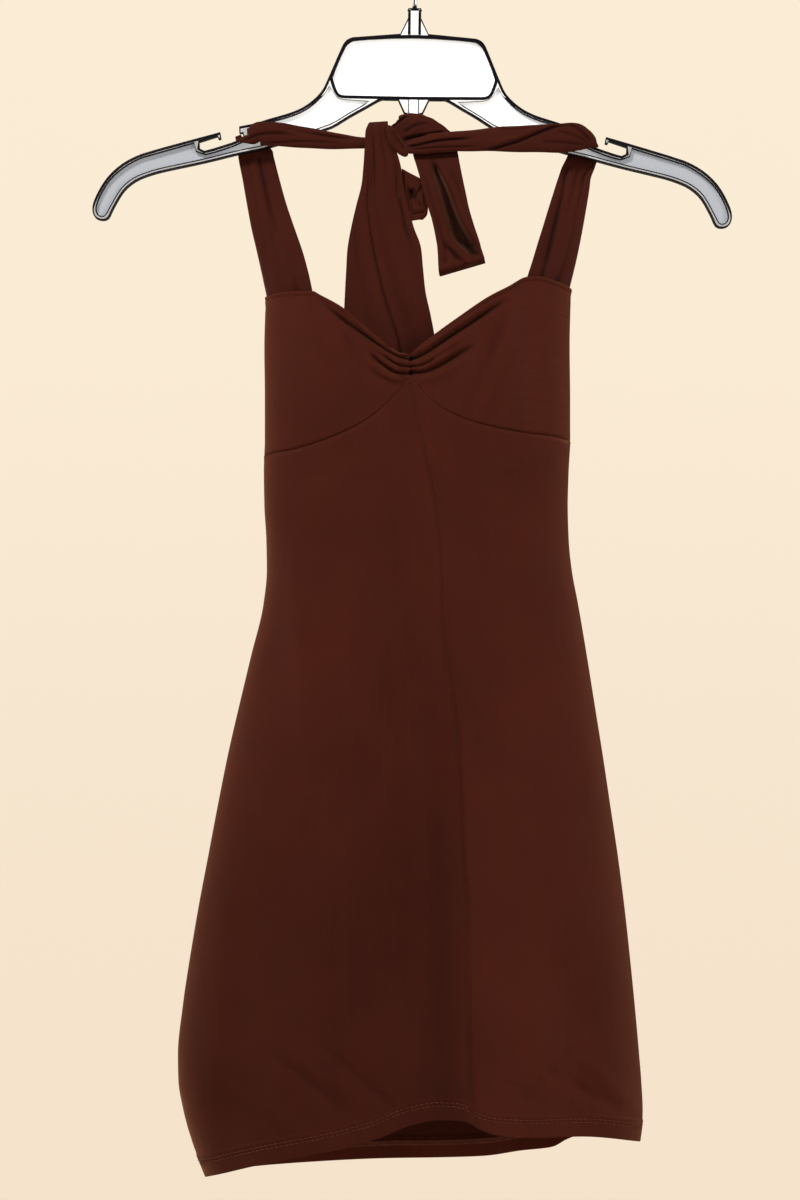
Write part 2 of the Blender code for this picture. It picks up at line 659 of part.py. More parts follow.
def hook():
    """Bent wire: a shank out of the boss, a bend to one side and most of a circle over the held point."""
    middle = HOOK_INNER + WIRE_RADIUS
    first = math.radians(-55)
    last = math.radians(205)
    start = Vector((0, 0, BOSS_TOP + SEAM))
    join = Vector((middle * math.cos(first), 0, -HOOK_INNER + middle * math.sin(first)))
    lead = Vector((-math.sin(first), 0, math.cos(first)))
    path = [start]
    a, b, c, d = start + Vector((0, 0, 4 * MM)), start + Vector((0, 0, 12 * MM)), join - lead * 9 * MM, join
    for i in range(7):
        k = i / 7
        path.append(a * (1 - k) ** 3 + b * 3 * k * (1 - k) ** 2 + c * 3 * k * k * (1 - k) + d * k ** 3)
    for i in range(25):
        angle = mix(first, last, i / 24)
        path.append(Vector((middle * math.cos(angle), 0, -HOOK_INNER + middle * math.sin(angle))))
    turn = Matrix.Rotation(TILT, 3, 'Y')
    around = 8
    verts, faces = [], []
    for i, point in enumerate(path):
        run = path[min(i + 1, len(path) - 1)] - path[max(i - 1, 0)]
        run.normalize()
        side = Vector((run.z, 0, -run.x))
        for j in range(around):
            angle = math.tau * j / around
            verts.append(turn @ (point + (side * math.cos(angle) + Vector((0, math.sin(angle), 0))) * WIRE_RADIUS))
    for i in range(len(path) - 1):
        for j in range(around):
            k = (j + 1) % around
            faces.append((i * around + j, i * around + k, (i + 1) * around + k, (i + 1) * around + j))
    faces.append(tuple(range(around)))
    faces.append(tuple((len(path) - 1) * around + j for j in range(around - 1, -1, -1)))
    return finish("hook", verts, faces, "steel")


hook()
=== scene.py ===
# Halter dress on a clear top hanger: the looks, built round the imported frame.
# Sizes are in metres; readings named across and down are taken on the front view in units
# of 0.676 mm, from an eye 2.6 m in front, as in the part.
import math
from bisect import bisect_right

import bmesh
import bpy
from mathutils import Matrix
from mathutils import Vector
from mathutils import noise

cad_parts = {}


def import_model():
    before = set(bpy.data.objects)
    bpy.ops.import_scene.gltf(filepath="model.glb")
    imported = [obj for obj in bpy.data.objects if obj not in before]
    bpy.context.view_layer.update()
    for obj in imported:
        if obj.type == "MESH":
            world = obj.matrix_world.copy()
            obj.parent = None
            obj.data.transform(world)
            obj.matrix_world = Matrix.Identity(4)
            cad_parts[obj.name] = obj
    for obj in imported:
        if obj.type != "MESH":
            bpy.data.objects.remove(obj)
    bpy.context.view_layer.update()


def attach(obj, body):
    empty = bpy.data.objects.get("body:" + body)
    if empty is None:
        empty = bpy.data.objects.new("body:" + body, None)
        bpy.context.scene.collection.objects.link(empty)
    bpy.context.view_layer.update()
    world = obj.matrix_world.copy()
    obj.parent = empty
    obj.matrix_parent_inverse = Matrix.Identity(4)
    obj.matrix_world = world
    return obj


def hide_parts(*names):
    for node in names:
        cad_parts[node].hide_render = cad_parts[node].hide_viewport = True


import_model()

MM = 0.001
UNIT_MM = 0.676
UNIT = UNIT_MM * MM
# reading that the eye looks straight at
EYE_ACROSS, EYE_DOWN = 400, 600
EYE_AWAY = 2600.0 * MM
EYE_X = -10.7 * MM
EYE_Z = -459.0 * MM
TILT = math.radians(0.72)

SEAM = 0.05 * MM
CLEAR = 0.3 * MM
CLOTH = 1.2 * MM
HEM_CLOTH = 2.2 * MM
HEM_TALL = 22.0
# heights of the two stitch rows above the hem (mm)
STITCH_ROWS = (9.6, 11.9)
# across the seam between the cups
CUP_SEAM = 409.8
RIBBON = 1.8 * MM

RIM_HALF = 4.0 * MM
WEB_HALF = 1.0 * MM
WIRE_RADIUS = 1.5 * MM
HOOK_INNER = 22.0 * MM
BOSS_TOP = -59.5 * MM

# down, left edge, right edge of the hanging tube
SIDES = [
    (270, 268, 571), (300, 266.5, 570), (348, 265, 569), (396, 265.5, 569.5), (440, 265.5, 569.5),
    (470, 264.5, 568), (505, 265, 567), (540, 267, 568), (570, 267.5, 571), (605, 264, 577.5),
    (655, 252, 586), (705, 240, 594), (755, 228.5, 602), (805, 218.5, 609.5), (855, 209, 617),
    (905, 199.5, 623.5), (955, 191, 629), (1005, 183.5, 634), (1055, 178.5, 638.5), (1080, 179, 640.5),
    (1110, 184, 642), (1145, 194, 638.5), (1180, 208, 634),
]
# down, depth in front of the sides, depth behind them (mm)
DEPTHS = [
    (270, 23, 28), (300, 25, 30), (350, 28, 33), (400, 30, 34), (450, 31, 34), (520, 31, 33),
    (600, 33, 35), (750, 38, 42), (900, 44, 50), (1050, 50, 57), (1180, 54, 61),
]
# across, down
NECK_FRONT = [
    (262, 301), (267, 297), (282, 292.6), (300, 291.4), (313, 291.2), (320, 294.8), (343, 307.7),
    (367, 329.4), (383, 342.4), (399, 352.9), (409.5, 354.4), (420, 346), (434, 334.8), (458, 317.5),
    (488, 297), (508, 286.6), (527, 276.9), (538, 276.3), (553, 280.5), (565, 285.6), (569.6, 288.8),
    (575, 304),
]
NECK_BACK = [
    (262, 294), (266.4, 298.4), (270, 312), (278, 332), (295, 358), (330, 382), (370, 391),
    (417, 394), (465, 390), (505, 380),
    (540, 356), (558, 326), (565, 306), (569.6, 289.4), (575, 286),
]
BUST_FRONT = [
    (262, 457.5), (271, 454.2), (293, 449.8), (321, 441.2), (345, 431.4), (367, 419.4), (384, 405.6),
    (399, 390.4), (410.5, 377.6), (417, 383.8), (428, 396.8), (445, 409.6), (467, 419.5), (488, 425.8),
    (521, 432.4), (553, 436.8), (574, 443.5),
]
BUST_BACK = [
    (262, 457.5), (300, 461), (360, 464), (418, 464), (480, 460), (540, 450), (574, 443.5),
]
HEM_FRONT = [
    (190, 1179), (212, 1175.5), (256, 1165.8), (298, 1157.5), (338, 1149.9), (362, 1143.5), (383, 1137),
    (400, 1129.5), (415, 1124.2), (440, 1120), (462, 1121), (470, 1123), (479, 1129), (498, 1135.5),
    (533, 1137.8), (584, 1136.5), (640, 1141.5),
]
HEM_BACK = [
    (190, 1179), (212, 1174), (252, 1166.5), (288, 1163.3), (338, 1160), (383, 1158), (447, 1157),
    (485, 1155.6), (520, 1150.5), (552, 1147), (568, 1138.7), (584, 1134.2), (610, 1134.6),
    (632, 1138.6), (640, 1141.5),
]
# down, across
CENTRE_SEAM = [
    (350, 409.5), (378, 410.5), (450, 424), (510, 436), (560, 441), (630, 442), (657, 447), (748, 459),
    (800, 462), (865, 464), (900, 466), (995, 468), (1090, 469.5), (1112, 472), (1130, 478),
]
# across at the top, across at the foot, top, foot, half width, height (mm, out from the wall)
FRONT_FOLDS = [
    (404, 441, 520, 1190, 24, -4.5), (482, 476, 620, 800, 16, 2.0), (294, 306, 540, 780, 18, 2.2),
    (486, 512, 800, 1190, 26, 3.4), (362, 346, 760, 1190, 30, 2.6), (246, 232, 840, 1190, 22, -2.4),
    (560, 590, 900, 1190, 22, -2.6), (300, 282, 900, 1190, 22, 1.8),
]
BACK_FOLDS = [
    (352, 322, 380, 1190, 28, 4.6), (428, 420, 400, 1190, 26, -5.2), (500, 522, 390, 1190, 28, 4.2),
    (292, 252, 600, 1190, 24, -3.4), (556, 590, 640, 1190, 24, -3.2),
]
# side (-1 left), depth below the neck at the seam, depth below further out, reach, size, half width (mm)
GATHERS = [
    (-1, 4.6, 3.6, 66, 1.1, 2.0), (-1, 10.4, 9.0, 18, 1.2, 1.9), (-1, 14.4, 17.4, 36, 1.6, 2.4),
    (1, 3.4, 4.6, 24, 0.9, 1.8), (1, 8.6, 12.2, 74, 2.0, 2.8), (1, 13.6, 26.0, 52, 1.5, 3.0),
]

# right half of the hanger seen level: x, z (mm)
HANGER_HALF = [
    (4.3, -59.5), (4.3, -66.1), (9.5, -76.9), (41.6, -79.7), (45.6, -81.6), (48.2, -85.0),
    (57.3, -106.4), (62.4, -116.8), (71.2, -125.1), (81.5, -130.6), (97.6, -135.6), (108, -138.9),
    (117.5, -140.9), (117.3, -145.3), (115.4, -145.1), (113.9, -148.4), (122.5, -151.9), (140.8, -157.6),
    (144.2, -156.0), (144.4, -151.6), (132.2, -147.6), (131.4, -149.6), (129.6, -149.1), (130.3, -144.9),
    (146.0, -149.3), (183.4, -160.3), (195.9, -166.9), (206.1, -176.4), (213.1, -188.1), (215.9, -196.9),
    (214.2, -203.2), (209.4, -205.2), (205.0, -203.6), (201.7, -196.9), (195.1, -185.6), (187.1, -178.6),
    (177.6, -174.4), (166.3, -171.2), (140.8, -165.4), (116.0, -159.0), (96.5, -154.5), (55.2, -140.8),
    (43.0, -133.4), (32.5, -127.4), (20.0, -120.7), (10.6, -121.2), (6.4, -130.4), (3.0, -131.2),
    (3.0, -137.5),
]
ARM_WEB = [
    (59.8, -117.6), (69.4, -127.0), (80.5, -133.0), (96.8, -138.0), (107.3, -141.3), (111.6, -142.6),
    (111.2, -149.8), (121.6, -154.5), (140.2, -160.3), (146.6, -158.0), (147.6, -152.5), (182.8, -162.9),
    (194.4, -169.3), (204.1, -178.1), (210.7, -189.2), (213.2, -197.4), (211.8, -201.4), (209.2, -202.4),
    (207.0, -201.2), (203.9, -195.5), (197.0, -183.7), (188.6, -176.4), (178.4, -171.9), (166.9, -168.7),
    (141.4, -162.9), (116.6, -156.5), (97.2, -152.0), (56.4, -138.4), (44.2, -131.1), (33.7, -125.0),
    (29.5, -122.6), (47.0, -121.6), (53.4, -118.2), (57.0, -112.4),
]
PLATE_WEB_HALF = [
    (0.0, -79.6), (41.2, -82.0), (46.2, -86.0), (54.7, -106.6), (53.6, -111.6), (50.8, -115.0),
    (46.6, -116.4), (0.0, -116.8),
]
# Gathers drawn into the seam between the cups, from the seam outward:
# half width (mm), height (mm), then places as across and down
GATHER_LINES = [
    (1.3, 1.0, [(409, 354.5), (398, 352), (386, 346), (372, 336.5), (356, 324), (340, 312)]),
    (1.4, -2.7, [(409, 358.5), (399, 356.5), (389, 351.5), (376, 343), (360, 332), (344, 320.5),
                 (330, 309.5), (318, 301)]),
    (1.2, 1.1, [(409, 362.5), (399, 361.5), (389, 357), (378, 349.5), (366, 340)]),
    (1.0, -2.0, [(409, 366.5), (400, 366), (392, 362), (384, 355.5), (375, 347.5)]),
    (1.1, 1.1, [(409, 369.5), (400, 369.5), (391, 366), (381, 359.5), (372, 351)]),
    (1.5, -3.2, [(409, 373.5), (401, 374), (392, 372), (384, 366.5), (376, 359.5), (367, 350)]),
    (1.8, 1.3, [(408, 378), (400, 378.5), (391, 377), (381, 371.5), (372, 363.5), (363, 353)]),
    (2.2, -1.0, [(406, 382), (396, 383), (386, 380), (376, 373), (366, 362)]),
    (1.3, 1.0, [(411, 354.5), (420, 350), (432, 342), (450, 329.5), (470, 316), (490, 303.5)]),
    (1.5, -2.8, [(411, 359.5), (420, 356.5), (430, 350.6), (444, 341), (457.6, 332), (470, 324),
                 (482, 316), (500, 304), (518, 294)]),
    (1.5, 1.3, [(411, 363.5), (420, 362), (431, 357), (445, 348), (460, 338.5), (476, 328)]),
    (0.9, -1.4, [(411, 366.8), (419, 366.3), (427, 363), (437, 357.5)]),
    (1.2, 1.0, [(411, 369), (420, 368.3), (430, 365), (443, 357), (456, 348)]),
    (1.8, -2.8, [(411, 373), (421, 373), (430, 370.5), (440, 366), (452, 359), (464, 351), (481, 340)]),
    (2.4, 1.2, [(412, 378.5), (422, 379), (434, 376), (448, 369.5), (464, 360)]),
]
# Soft creases: first across, first down, last across, last down, half width (mm), height (mm)
FRONT_CREASES = [
    (517, 322, 478, 418, 4.5, 1.0), (523, 378, 503, 424, 3.5, 0.9), (331, 336, 349, 384, 5.0, 0.8),
    (498, 330, 468, 408, 5.0, -0.7), (346, 330, 366, 392, 5.0, -0.6),
    (300, 322, 292, 372, 7.0, 0.4), (542, 305, 538, 392, 7.0, -0.5), (292, 566, 306, 742, 5.5, 0.9),
    (478, 676, 472, 742, 4.5, 1.0), (404, 560, 410, 1040, 9.0, -1.0), (432, 800, 440, 1096, 8.0, -1.1),
    (287, 1064, 338, 1102, 4.0, -1.3), (338, 1056, 386, 1098, 4.0, -1.2),
    (240, 1092, 300, 1128, 4.5, 1.0),
    (300, 1058, 352, 1094, 3.6, 1.0), (560, 1060, 578, 1100, 4.0, 1.0),
    (530, 1092, 556, 1066, 4.0, -1.0),
    (566, 1078, 606, 1100, 4.5, -1.5), (588, 1060, 622, 1096, 4.0, 1.2),
    (504, 1080, 540, 1100, 4.5, -1.0),
    (352, 720, 344, 1010, 8.0, 0.9), (520, 780, 534, 1060, 9.0, 0.9), (226, 900, 214, 1070, 7.0, 0.8),
    (318, 492, 352, 470, 6.0, 0.5), (500, 468, 540, 452, 6.0, 0.45), (290, 520, 330, 545, 7.0, -0.5),
]
BACK_CREASES = [
    (330, 420, 318, 640, 8.0, 1.0), (500, 410, 512, 620, 8.0, 0.9), (380, 520, 372, 980, 9.0, -1.0),
    (470, 560, 482, 1040, 9.0, 1.1), (424, 400, 420, 520, 6.0, -0.9), (560, 700, 590, 1080, 9.0, 1.0),
    (280, 720, 250, 1100, 9.0, 0.9), (300, 1080, 352, 1120, 5.0, -0.8),
    (520, 1060, 566, 1100, 5.0, -0.8),
]


def slopes(rows, column):
    """End-limited slopes that keep a curve from running past its readings."""
    gaps = [rows[i + 1][0] - rows[i][0] for i in range(len(rows) - 1)]
    rise = [(rows[i + 1][column] - rows[i][column]) / gaps[i] for i in range(len(rows) - 1)]
    out = [rise[0]]
    for i in range(1, len(rows) - 1):
        if rise[i - 1] * rise[i] <= 0:
            out.append(0.0)
        else:
            out.append(2 * rise[i - 1] * rise[i] / (rise[i - 1] + rise[i]))
    out.append(rise[-1])
    return out


KEPT = {}


def curve(rows, at, column=1):
    """Smooth value of a column between its readings."""
    key = (id(rows), column)
    if key not in KEPT:
        KEPT[key] = (slopes(rows, column), [r[0] for r in rows], [r[column] for r in rows])
    slope, ats, values = KEPT[key]
    if at <= ats[0]:
        return values[0] + slope[0] * (at - ats[0]) * 0.5
    if at >= ats[-1]:
        return values[-1] + slope[-1] * (at - ats[-1]) * 0.5
    i = bisect_right(ats, at) - 1
    gap = ats[i + 1] - ats[i]
    k = (at - ats[i]) / gap
    a, b = values[i], values[i + 1]
    bend = k * (1 - k) * ((1 - k) * slope[i] - k * slope[i + 1]) * gap
    return a + (b - a) * k * k * (3 - 2 * k) + bend


def ease(k):
    k = min(1.0, max(0.0, k))
    return k * k * (3 - 2 * k)


def bell(off, wide):
    """Smooth hump, 1 in the middle."""
    return math.exp(-(off / wide) ** 2)


def mix(a, b, k):
    return a + (b - a) * k


def bent(a, b, c, d, k):
    """A share k of the way from b to c, on a smooth curve that heads from a and on to d."""
    bow = (2 * a - 5 * b + 4 * c - d) * k * k
    return 0.5 * (2 * b + (c - a) * k + bow + (3 * b - a - 3 * c + d) * k ** 3)


def seen(across, down, depth):
    """Place in the part of a front reading at a depth."""
    near = (EYE_AWAY + depth) / EYE_AWAY
    return Vector((EYE_X + (across - EYE_ACROSS) * UNIT * near, depth, EYE_Z - (down - EYE_DOWN) * UNIT * near))


def across_of(turn, down):
    left, right = curve(SIDES, down, 1), curve(SIDES, down, 2)
    return (left + right) / 2 + (right - left) / 2 * math.sin(math.tau * turn)


def turn_of(across, down):
    left, right = curve(SIDES, down, 1), curve(SIDES, down, 2)
    share = (across - (left + right) / 2) / ((right - left) / 2)
    return math.asin(max(-1.0, min(1.0, share))) / math.tau


def folds(rows, across, down):
    out = 0.0
    for first, last, top, foot, wide, tall in rows:
        middle = mix(first, last, ease((down - top) / (foot - top)))
        held = ease((down - top) / 110) * ease((foot - down) / 110 + (1 if foot > 1150 else 0))
        out += tall * held * bell(across - middle, wide)
    return out


def creases(rows, across, down):
    """Narrow soft ridges and troughs along short lines."""
    out = 0.0
    for ax, ad, bx, bd, wide, tall in rows:
        run_x, run_d = bx - ax, bd - ad
        long = math.hypot(run_x, run_d)
        along = ((across - ax) * run_x + (down - ad) * run_d) / long
        if along < -40 or along > long + 40:
            continue
        off = ((across - ax) * run_d - (down - ad) * run_x) / long * UNIT_MM
        if abs(off) > wide * 3:
            continue
        held = ease((along + 40) / 60) * ease((long + 40 - along) / 60)
        out += tall * held * bell(off, wide)
    return out


def smooth_line(points, steps=4):
    """Closely spaced points on a smooth curve through a few, with the length run so far."""
    out = []
    last = len(points) - 1
    for i in range(last):
        p, q, r, t = points[max(i - 1, 0)], points[i], points[i + 1], points[min(i + 2, last)]
        for step in range(steps):
            k = step / steps
            out.append(tuple(bent(a, b, c, d, k) for a, b, c, d in zip(p, q, r, t)))
    out.append(tuple(points[-1]))
    run = [0.0]
    for a, b in zip(out, out[1:]):
        run.append(run[-1] + math.hypot(b[0] - a[0], b[1] - a[1]))
    return [(x, y, r / run[-1]) for (x, y), r in zip(out, run)]


def prepare(rows, fade_in=0.0, fade_out=0.55):
    """Crease lines ready for measuring: width, height, box round them, points and fades."""
    out = []
    for wide, tall, points in rows:
        line = smooth_line(points)
        room = wide * 2.6 / UNIT_MM
        box = (min(p[0] for p in line) - room, max(p[0] for p in line) + room,
               min(p[1] for p in line) - room, max(p[1] for p in line) + room)
        out.append((wide, tall, box, line, fade_in, fade_out))
    return out


def lines(rows, across, down):
    """Height (mm) that soft crease lines add at a reading."""
    out = 0.0
    for wide, tall, box, line, fade_in, fade_out in rows:
        if across < box[0] or across > box[1] or down < box[2] or down > box[3]:
            continue
        best, at = 1e9, 0.0
        for (ax, ad, ar), (bx, bd, br) in zip(line, line[1:]):
            gx, gd = bx - ax, bd - ad
            k = ((across - ax) * gx + (down - ad) * gd) / (gx * gx + gd * gd + 1e-12)
            k = 0.0 if k < 0 else (1.0 if k > 1 else k)
            off = (across - ax - gx * k) ** 2 + (down - ad - gd * k) ** 2
            if off < best:
                best, at = off, ar + (br - ar) * k
        spread = wide / UNIT_MM * (1 + 0.6 * at * (1 if fade_in == 0 else 0))
        held = ease((1 - at) / fade_out)
        if fade_in:
            held *= ease(at / fade_in)
        out += tall * held * math.exp(-best / (spread * spread))
    return out


CUP_LINES = prepare([(wide, tall * 1.4, points) for wide, tall, points in GATHER_LINES], 0.0, 0.42)


def gathers(rows, across, down, sharp, deep):
    """Small puckers that fan from the centre seam between the cups."""
    side = -1 if across < CUP_SEAM else 1
    away = abs(across - CUP_SEAM) * UNIT_MM
    below = (down - curve(NECK_FRONT, across)) * UNIT_MM
    out = 0.0
    for where, near, far, reach, size, wide in rows:
        if where != side or away >= reach:
            continue
        place = mix(near, far, ease(away / reach * 1.4))
        fade = 1 - ease(away / reach)
        spread = wide * sharp * (1 + 0.5 * away / reach)
        out -= size * deep * fade * bell(below - place, spread)
    return out


def wall(turn, down, fine=True):
    """Middle of the dress's cloth: turn runs 0 at the front, 0.25 at the right side, 0.5 at the back."""
    across = across_of(turn, down)
    c = math.cos(math.tau * turn)
    if c >= 0:
        deep = curve(DEPTHS, down, 1) * c * (1 + 0.35 * (1 - c * c))
        deep += folds(FRONT_FOLDS, across, down) * min(1.0, c * 2.2)
        if down < 470:
            cup = math.exp(-((abs(across - 410) - 82) / 48) ** 2 - ((down - 385) / 52) ** 2)
            dent = math.exp(-((across - CUP_SEAM) / 16) ** 2 - ((down - 362) / 26) ** 2)
            deep += 4.0 * cup - 2.6 * dent
            if fine:
                deep += lines(CUP_LINES, across, down)
            else:
                deep += gathers(GATHERS, across, down, 1.0, 1.0)
        if fine:
            deep += 1.4 * creases(FRONT_CREASES, across, down) * min(1.0, c * 2.5)
        front = -1
    else:
        deep = curve(DEPTHS, down, 2) * -c * (1 + 0.25 * (1 - c * c))
        deep += folds(BACK_FOLDS, across, down) * min(1.0, -c * 2.2)
        if fine:
            deep += 1.6 * creases(BACK_CREASES, across, down) * min(1.0, -c * 2.5)
        front = 1
    place = seen(across, down, deep * front * MM)
    if fine:
        held = min(1.0, abs(c) * 3)
        soft = noise.noise(place * 19.0) * 0.8 + noise.noise(place * 52.0) * 0.28
        place.y += soft * held * MM
    return place


def outward(turn, down):
    along = wall(turn + 0.0006, down) - wall(turn - 0.0006, down)
    drop = wall(turn, down + 0.6) - wall(turn, down - 0.6)
    out = drop.cross(along)
    out.normalize()
    return out


def turn_gap(turn, down, size):
    """Share of a turn that spans a size on the cloth."""
    along = (wall(turn + 0.0005, down, False) - wall(turn - 0.0005, down, False)).length / 0.001
    return size / along


def settle(rows, turn, start):
    """Height of an edge that is read across the front view."""
    down = start
    for _ in range(5):
        down = curve(rows, across_of(turn, down))
    return down


def seam_step(rows, turn, down):
    """Reading that leaves half a seam gap square to a sloping edge."""
    across = across_of(turn, down)
    slope = (curve(rows, across + 1.0) - curve(rows, across - 1.0)) / 2.0
    return 0.5 * SEAM / UNIT * math.hypot(1.0, slope) * 1.05


def centre_turn(down):
    return turn_of(curve(CENTRE_SEAM, down), down)


# Materials

def wire(tree, value, socket):
    if hasattr(value, "is_output"):
        tree.links.new(value, socket)
    elif value is not None:
        socket.default_value = value


def math_node(tree, kind, a, b=None, c=None):
    node = tree.nodes.new("ShaderNodeMath")
    node.operation = kind
    for value, socket in zip((a, b, c), node.inputs):
        wire(tree, value, socket)
    return node.outputs[0]


def noise_node(tree, vector, scale, detail, rough):
    node = tree.nodes.new("ShaderNodeTexNoise")
    wire(tree, vector, node.inputs["Vector"])
    wire(tree, scale, node.inputs["Scale"])
    node.inputs["Detail"].default_value = detail
    node.inputs["Roughness"].default_value = rough
    return node.outputs[0]


def ramp(tree, value, low, high, to_low=0.0, to_high=1.0):
    node = tree.nodes.new("ShaderNodeMapRange")
    node.interpolation_type = "SMOOTHSTEP"
    wire(tree, value, node.inputs[0])
    for at, number in zip((1, 2, 3, 4), (low, high, to_low, to_high)):
        wire(tree, number, node.inputs[at])
    return node.outputs[0]


def blend_colour(tree, share, a, b):
    node = tree.nodes.new("ShaderNodeMix")
    node.data_type = "RGBA"
    wire(tree, share, node.inputs[0])
    wire(tree, a, node.inputs[6])
    wire(tree, b, node.inputs[7])
    return node.outputs[2]


def parts_of(tree, vector):
    """The three numbers of a vector."""
    node = tree.nodes.new("ShaderNodeSeparateXYZ")
    tree.links.new(vector, node.inputs[0])
    return node.outputs


def stretched(tree, vector, factors):
    node = tree.nodes.new("ShaderNodeVectorMath")
    node.operation = "MULTIPLY"
    tree.links.new(vector, node.inputs[0])
    node.inputs[1].default_value = factors
    return node.outputs[0]


def group(name, takes, gives):
    """Empty node group with named sockets; a socket is a name, a kind and a start value."""
    tree = bpy.data.node_groups.new(name, "ShaderNodeTree")
    for label, kind, start in takes:
        socket = tree.interface.new_socket(label, in_out="INPUT", socket_type=kind)
        if start is not None:
            socket.default_value = start
    for label, kind in gives:
        tree.interface.new_socket(label, in_out="OUTPUT", socket_type=kind)
    return tree, tree.nodes.new("NodeGroupInput").outputs, tree.nodes.new("NodeGroupOutput").inputs


def knit_group():
    """Plain jersey: columns of small V stitches on a cloth measured in metres."""
    tree, take, give = group("jersey_knit", [
        ("Cloth", "NodeSocketVector", None), ("Wale", "NodeSocketFloat", 0.0008),
        ("Course", "NodeSocketFloat", 0.0007)], [("Height", "NodeSocketFloat"),
        ("Shade", "NodeSocketFloat")])
    split = parts_of(tree, take["Cloth"])
    wander = noise_node(tree, take["Cloth"], 90.0, 2.0, 0.5)
    wander = math_node(tree, "MULTIPLY", wander, 0.0011)
    u = math_node(tree, "DIVIDE", math_node(tree, "ADD", split[0], wander), take["Wale"])
    v = math_node(tree, "DIVIDE", split[1], take["Course"])
    cell = math_node(tree, "FRACT", u)
    beside = math_node(tree, "ABSOLUTE", math_node(tree, "SUBTRACT", cell, 0.5))
    leg = math_node(tree, "MULTIPLY", beside, 2.0)
    slant = math_node(tree, "ADD", v, math_node(tree, "MULTIPLY", leg, 0.55))
    run = math_node(tree, "MULTIPLY", slant, math.tau)
    loop = math_node(tree, "MULTIPLY_ADD", math_node(tree, "SINE", run), 0.5, 0.5)
    off = math_node(tree, "MULTIPLY", math_node(tree, "SUBTRACT", leg, 0.5), 2.0)
    cord = math_node(tree, "SUBTRACT", 1.0, math_node(tree, "MULTIPLY", off, off))
    swell = math_node(tree, "MULTIPLY", loop, 0.45)
    height = math_node(tree, "ADD", swell, math_node(tree, "MULTIPLY", cord, 0.55))
    tree.links.new(height, give["Height"])
    # Shade: painted shade, lower parts of the stitches darker
    tree.links.new(ramp(tree, height, 0.1, 0.9), give["Shade"])
    return tree


def streak_group():
    """Uneven dye and pile: soft clouds, and faint streaks along the wales."""
    tree, take, give = group("cloth_streaks", [
        ("Cloth", "NodeSocketVector", None), ("Cloud", "NodeSocketFloat", 14.0),
        ("Streak", "NodeSocketFloat", 320.0)], [("Cloud", "NodeSocketFloat"),
        ("Streak", "NodeSocketFloat")])
    clouds = noise_node(tree, take["Cloth"], take["Cloud"], 4.0, 0.55)
    tree.links.new(ramp(tree, clouds, 0.3, 0.7), give["Cloud"])
    fine = noise_node(tree, stretched(tree, take["Cloth"], (1.0, 0.06, 1.0)), take["Streak"], 3.0, 0.6)
    tree.links.new(ramp(tree, fine, 0.3, 0.7), give["Streak"])
    return tree


def wear_group():
    """Scuffs on moulded plastic: sparse fine scratches and a soft haze."""
    tree, take, give = group("plastic_wear", [
        ("Place", "NodeSocketVector", None), ("Scale", "NodeSocketFloat", 60.0)],
        [("Haze", "NodeSocketFloat"), ("Scratch", "NodeSocketFloat")])
    haze = noise_node(tree, take["Place"], take["Scale"], 5.0, 0.6)
    tree.links.new(ramp(tree, haze, 0.35, 0.7), give["Haze"])
    pulled = stretched(tree, take["Place"], (1.0, 8.0, 14.0))
    scratches = noise_node(tree, pulled, math_node(tree, "MULTIPLY", take["Scale"], 6.0), 2.0, 0.7)
    tree.links.new(ramp(tree, scratches, 0.66, 0.74), give["Scratch"])
    return tree


KNIT, STREAKS, WEAR = knit_group(), streak_group(), wear_group()


def bump_node(tree, height, strength, distance, normal=None):
    node = tree.nodes.new("ShaderNodeBump")
    node.inputs["Strength"].default_value = strength
    node.inputs["Distance"].default_value = distance
    wire(tree, height, node.inputs["Height"])
    wire(tree, normal, node.inputs["Normal"])
    return node.outputs[0]


def use(tree, made, **values):
    node = tree.nodes.new("ShaderNodeGroup")
    node.node_tree = made
    for label, value in values.items():
        wire(tree, value, node.inputs[label])
    return node.outputs


def new_material(name):
    made = bpy.data.materials.new(name)
    made.use_nodes = True
    tree = made.node_tree
    return made, tree, tree.nodes["Principled BSDF"]


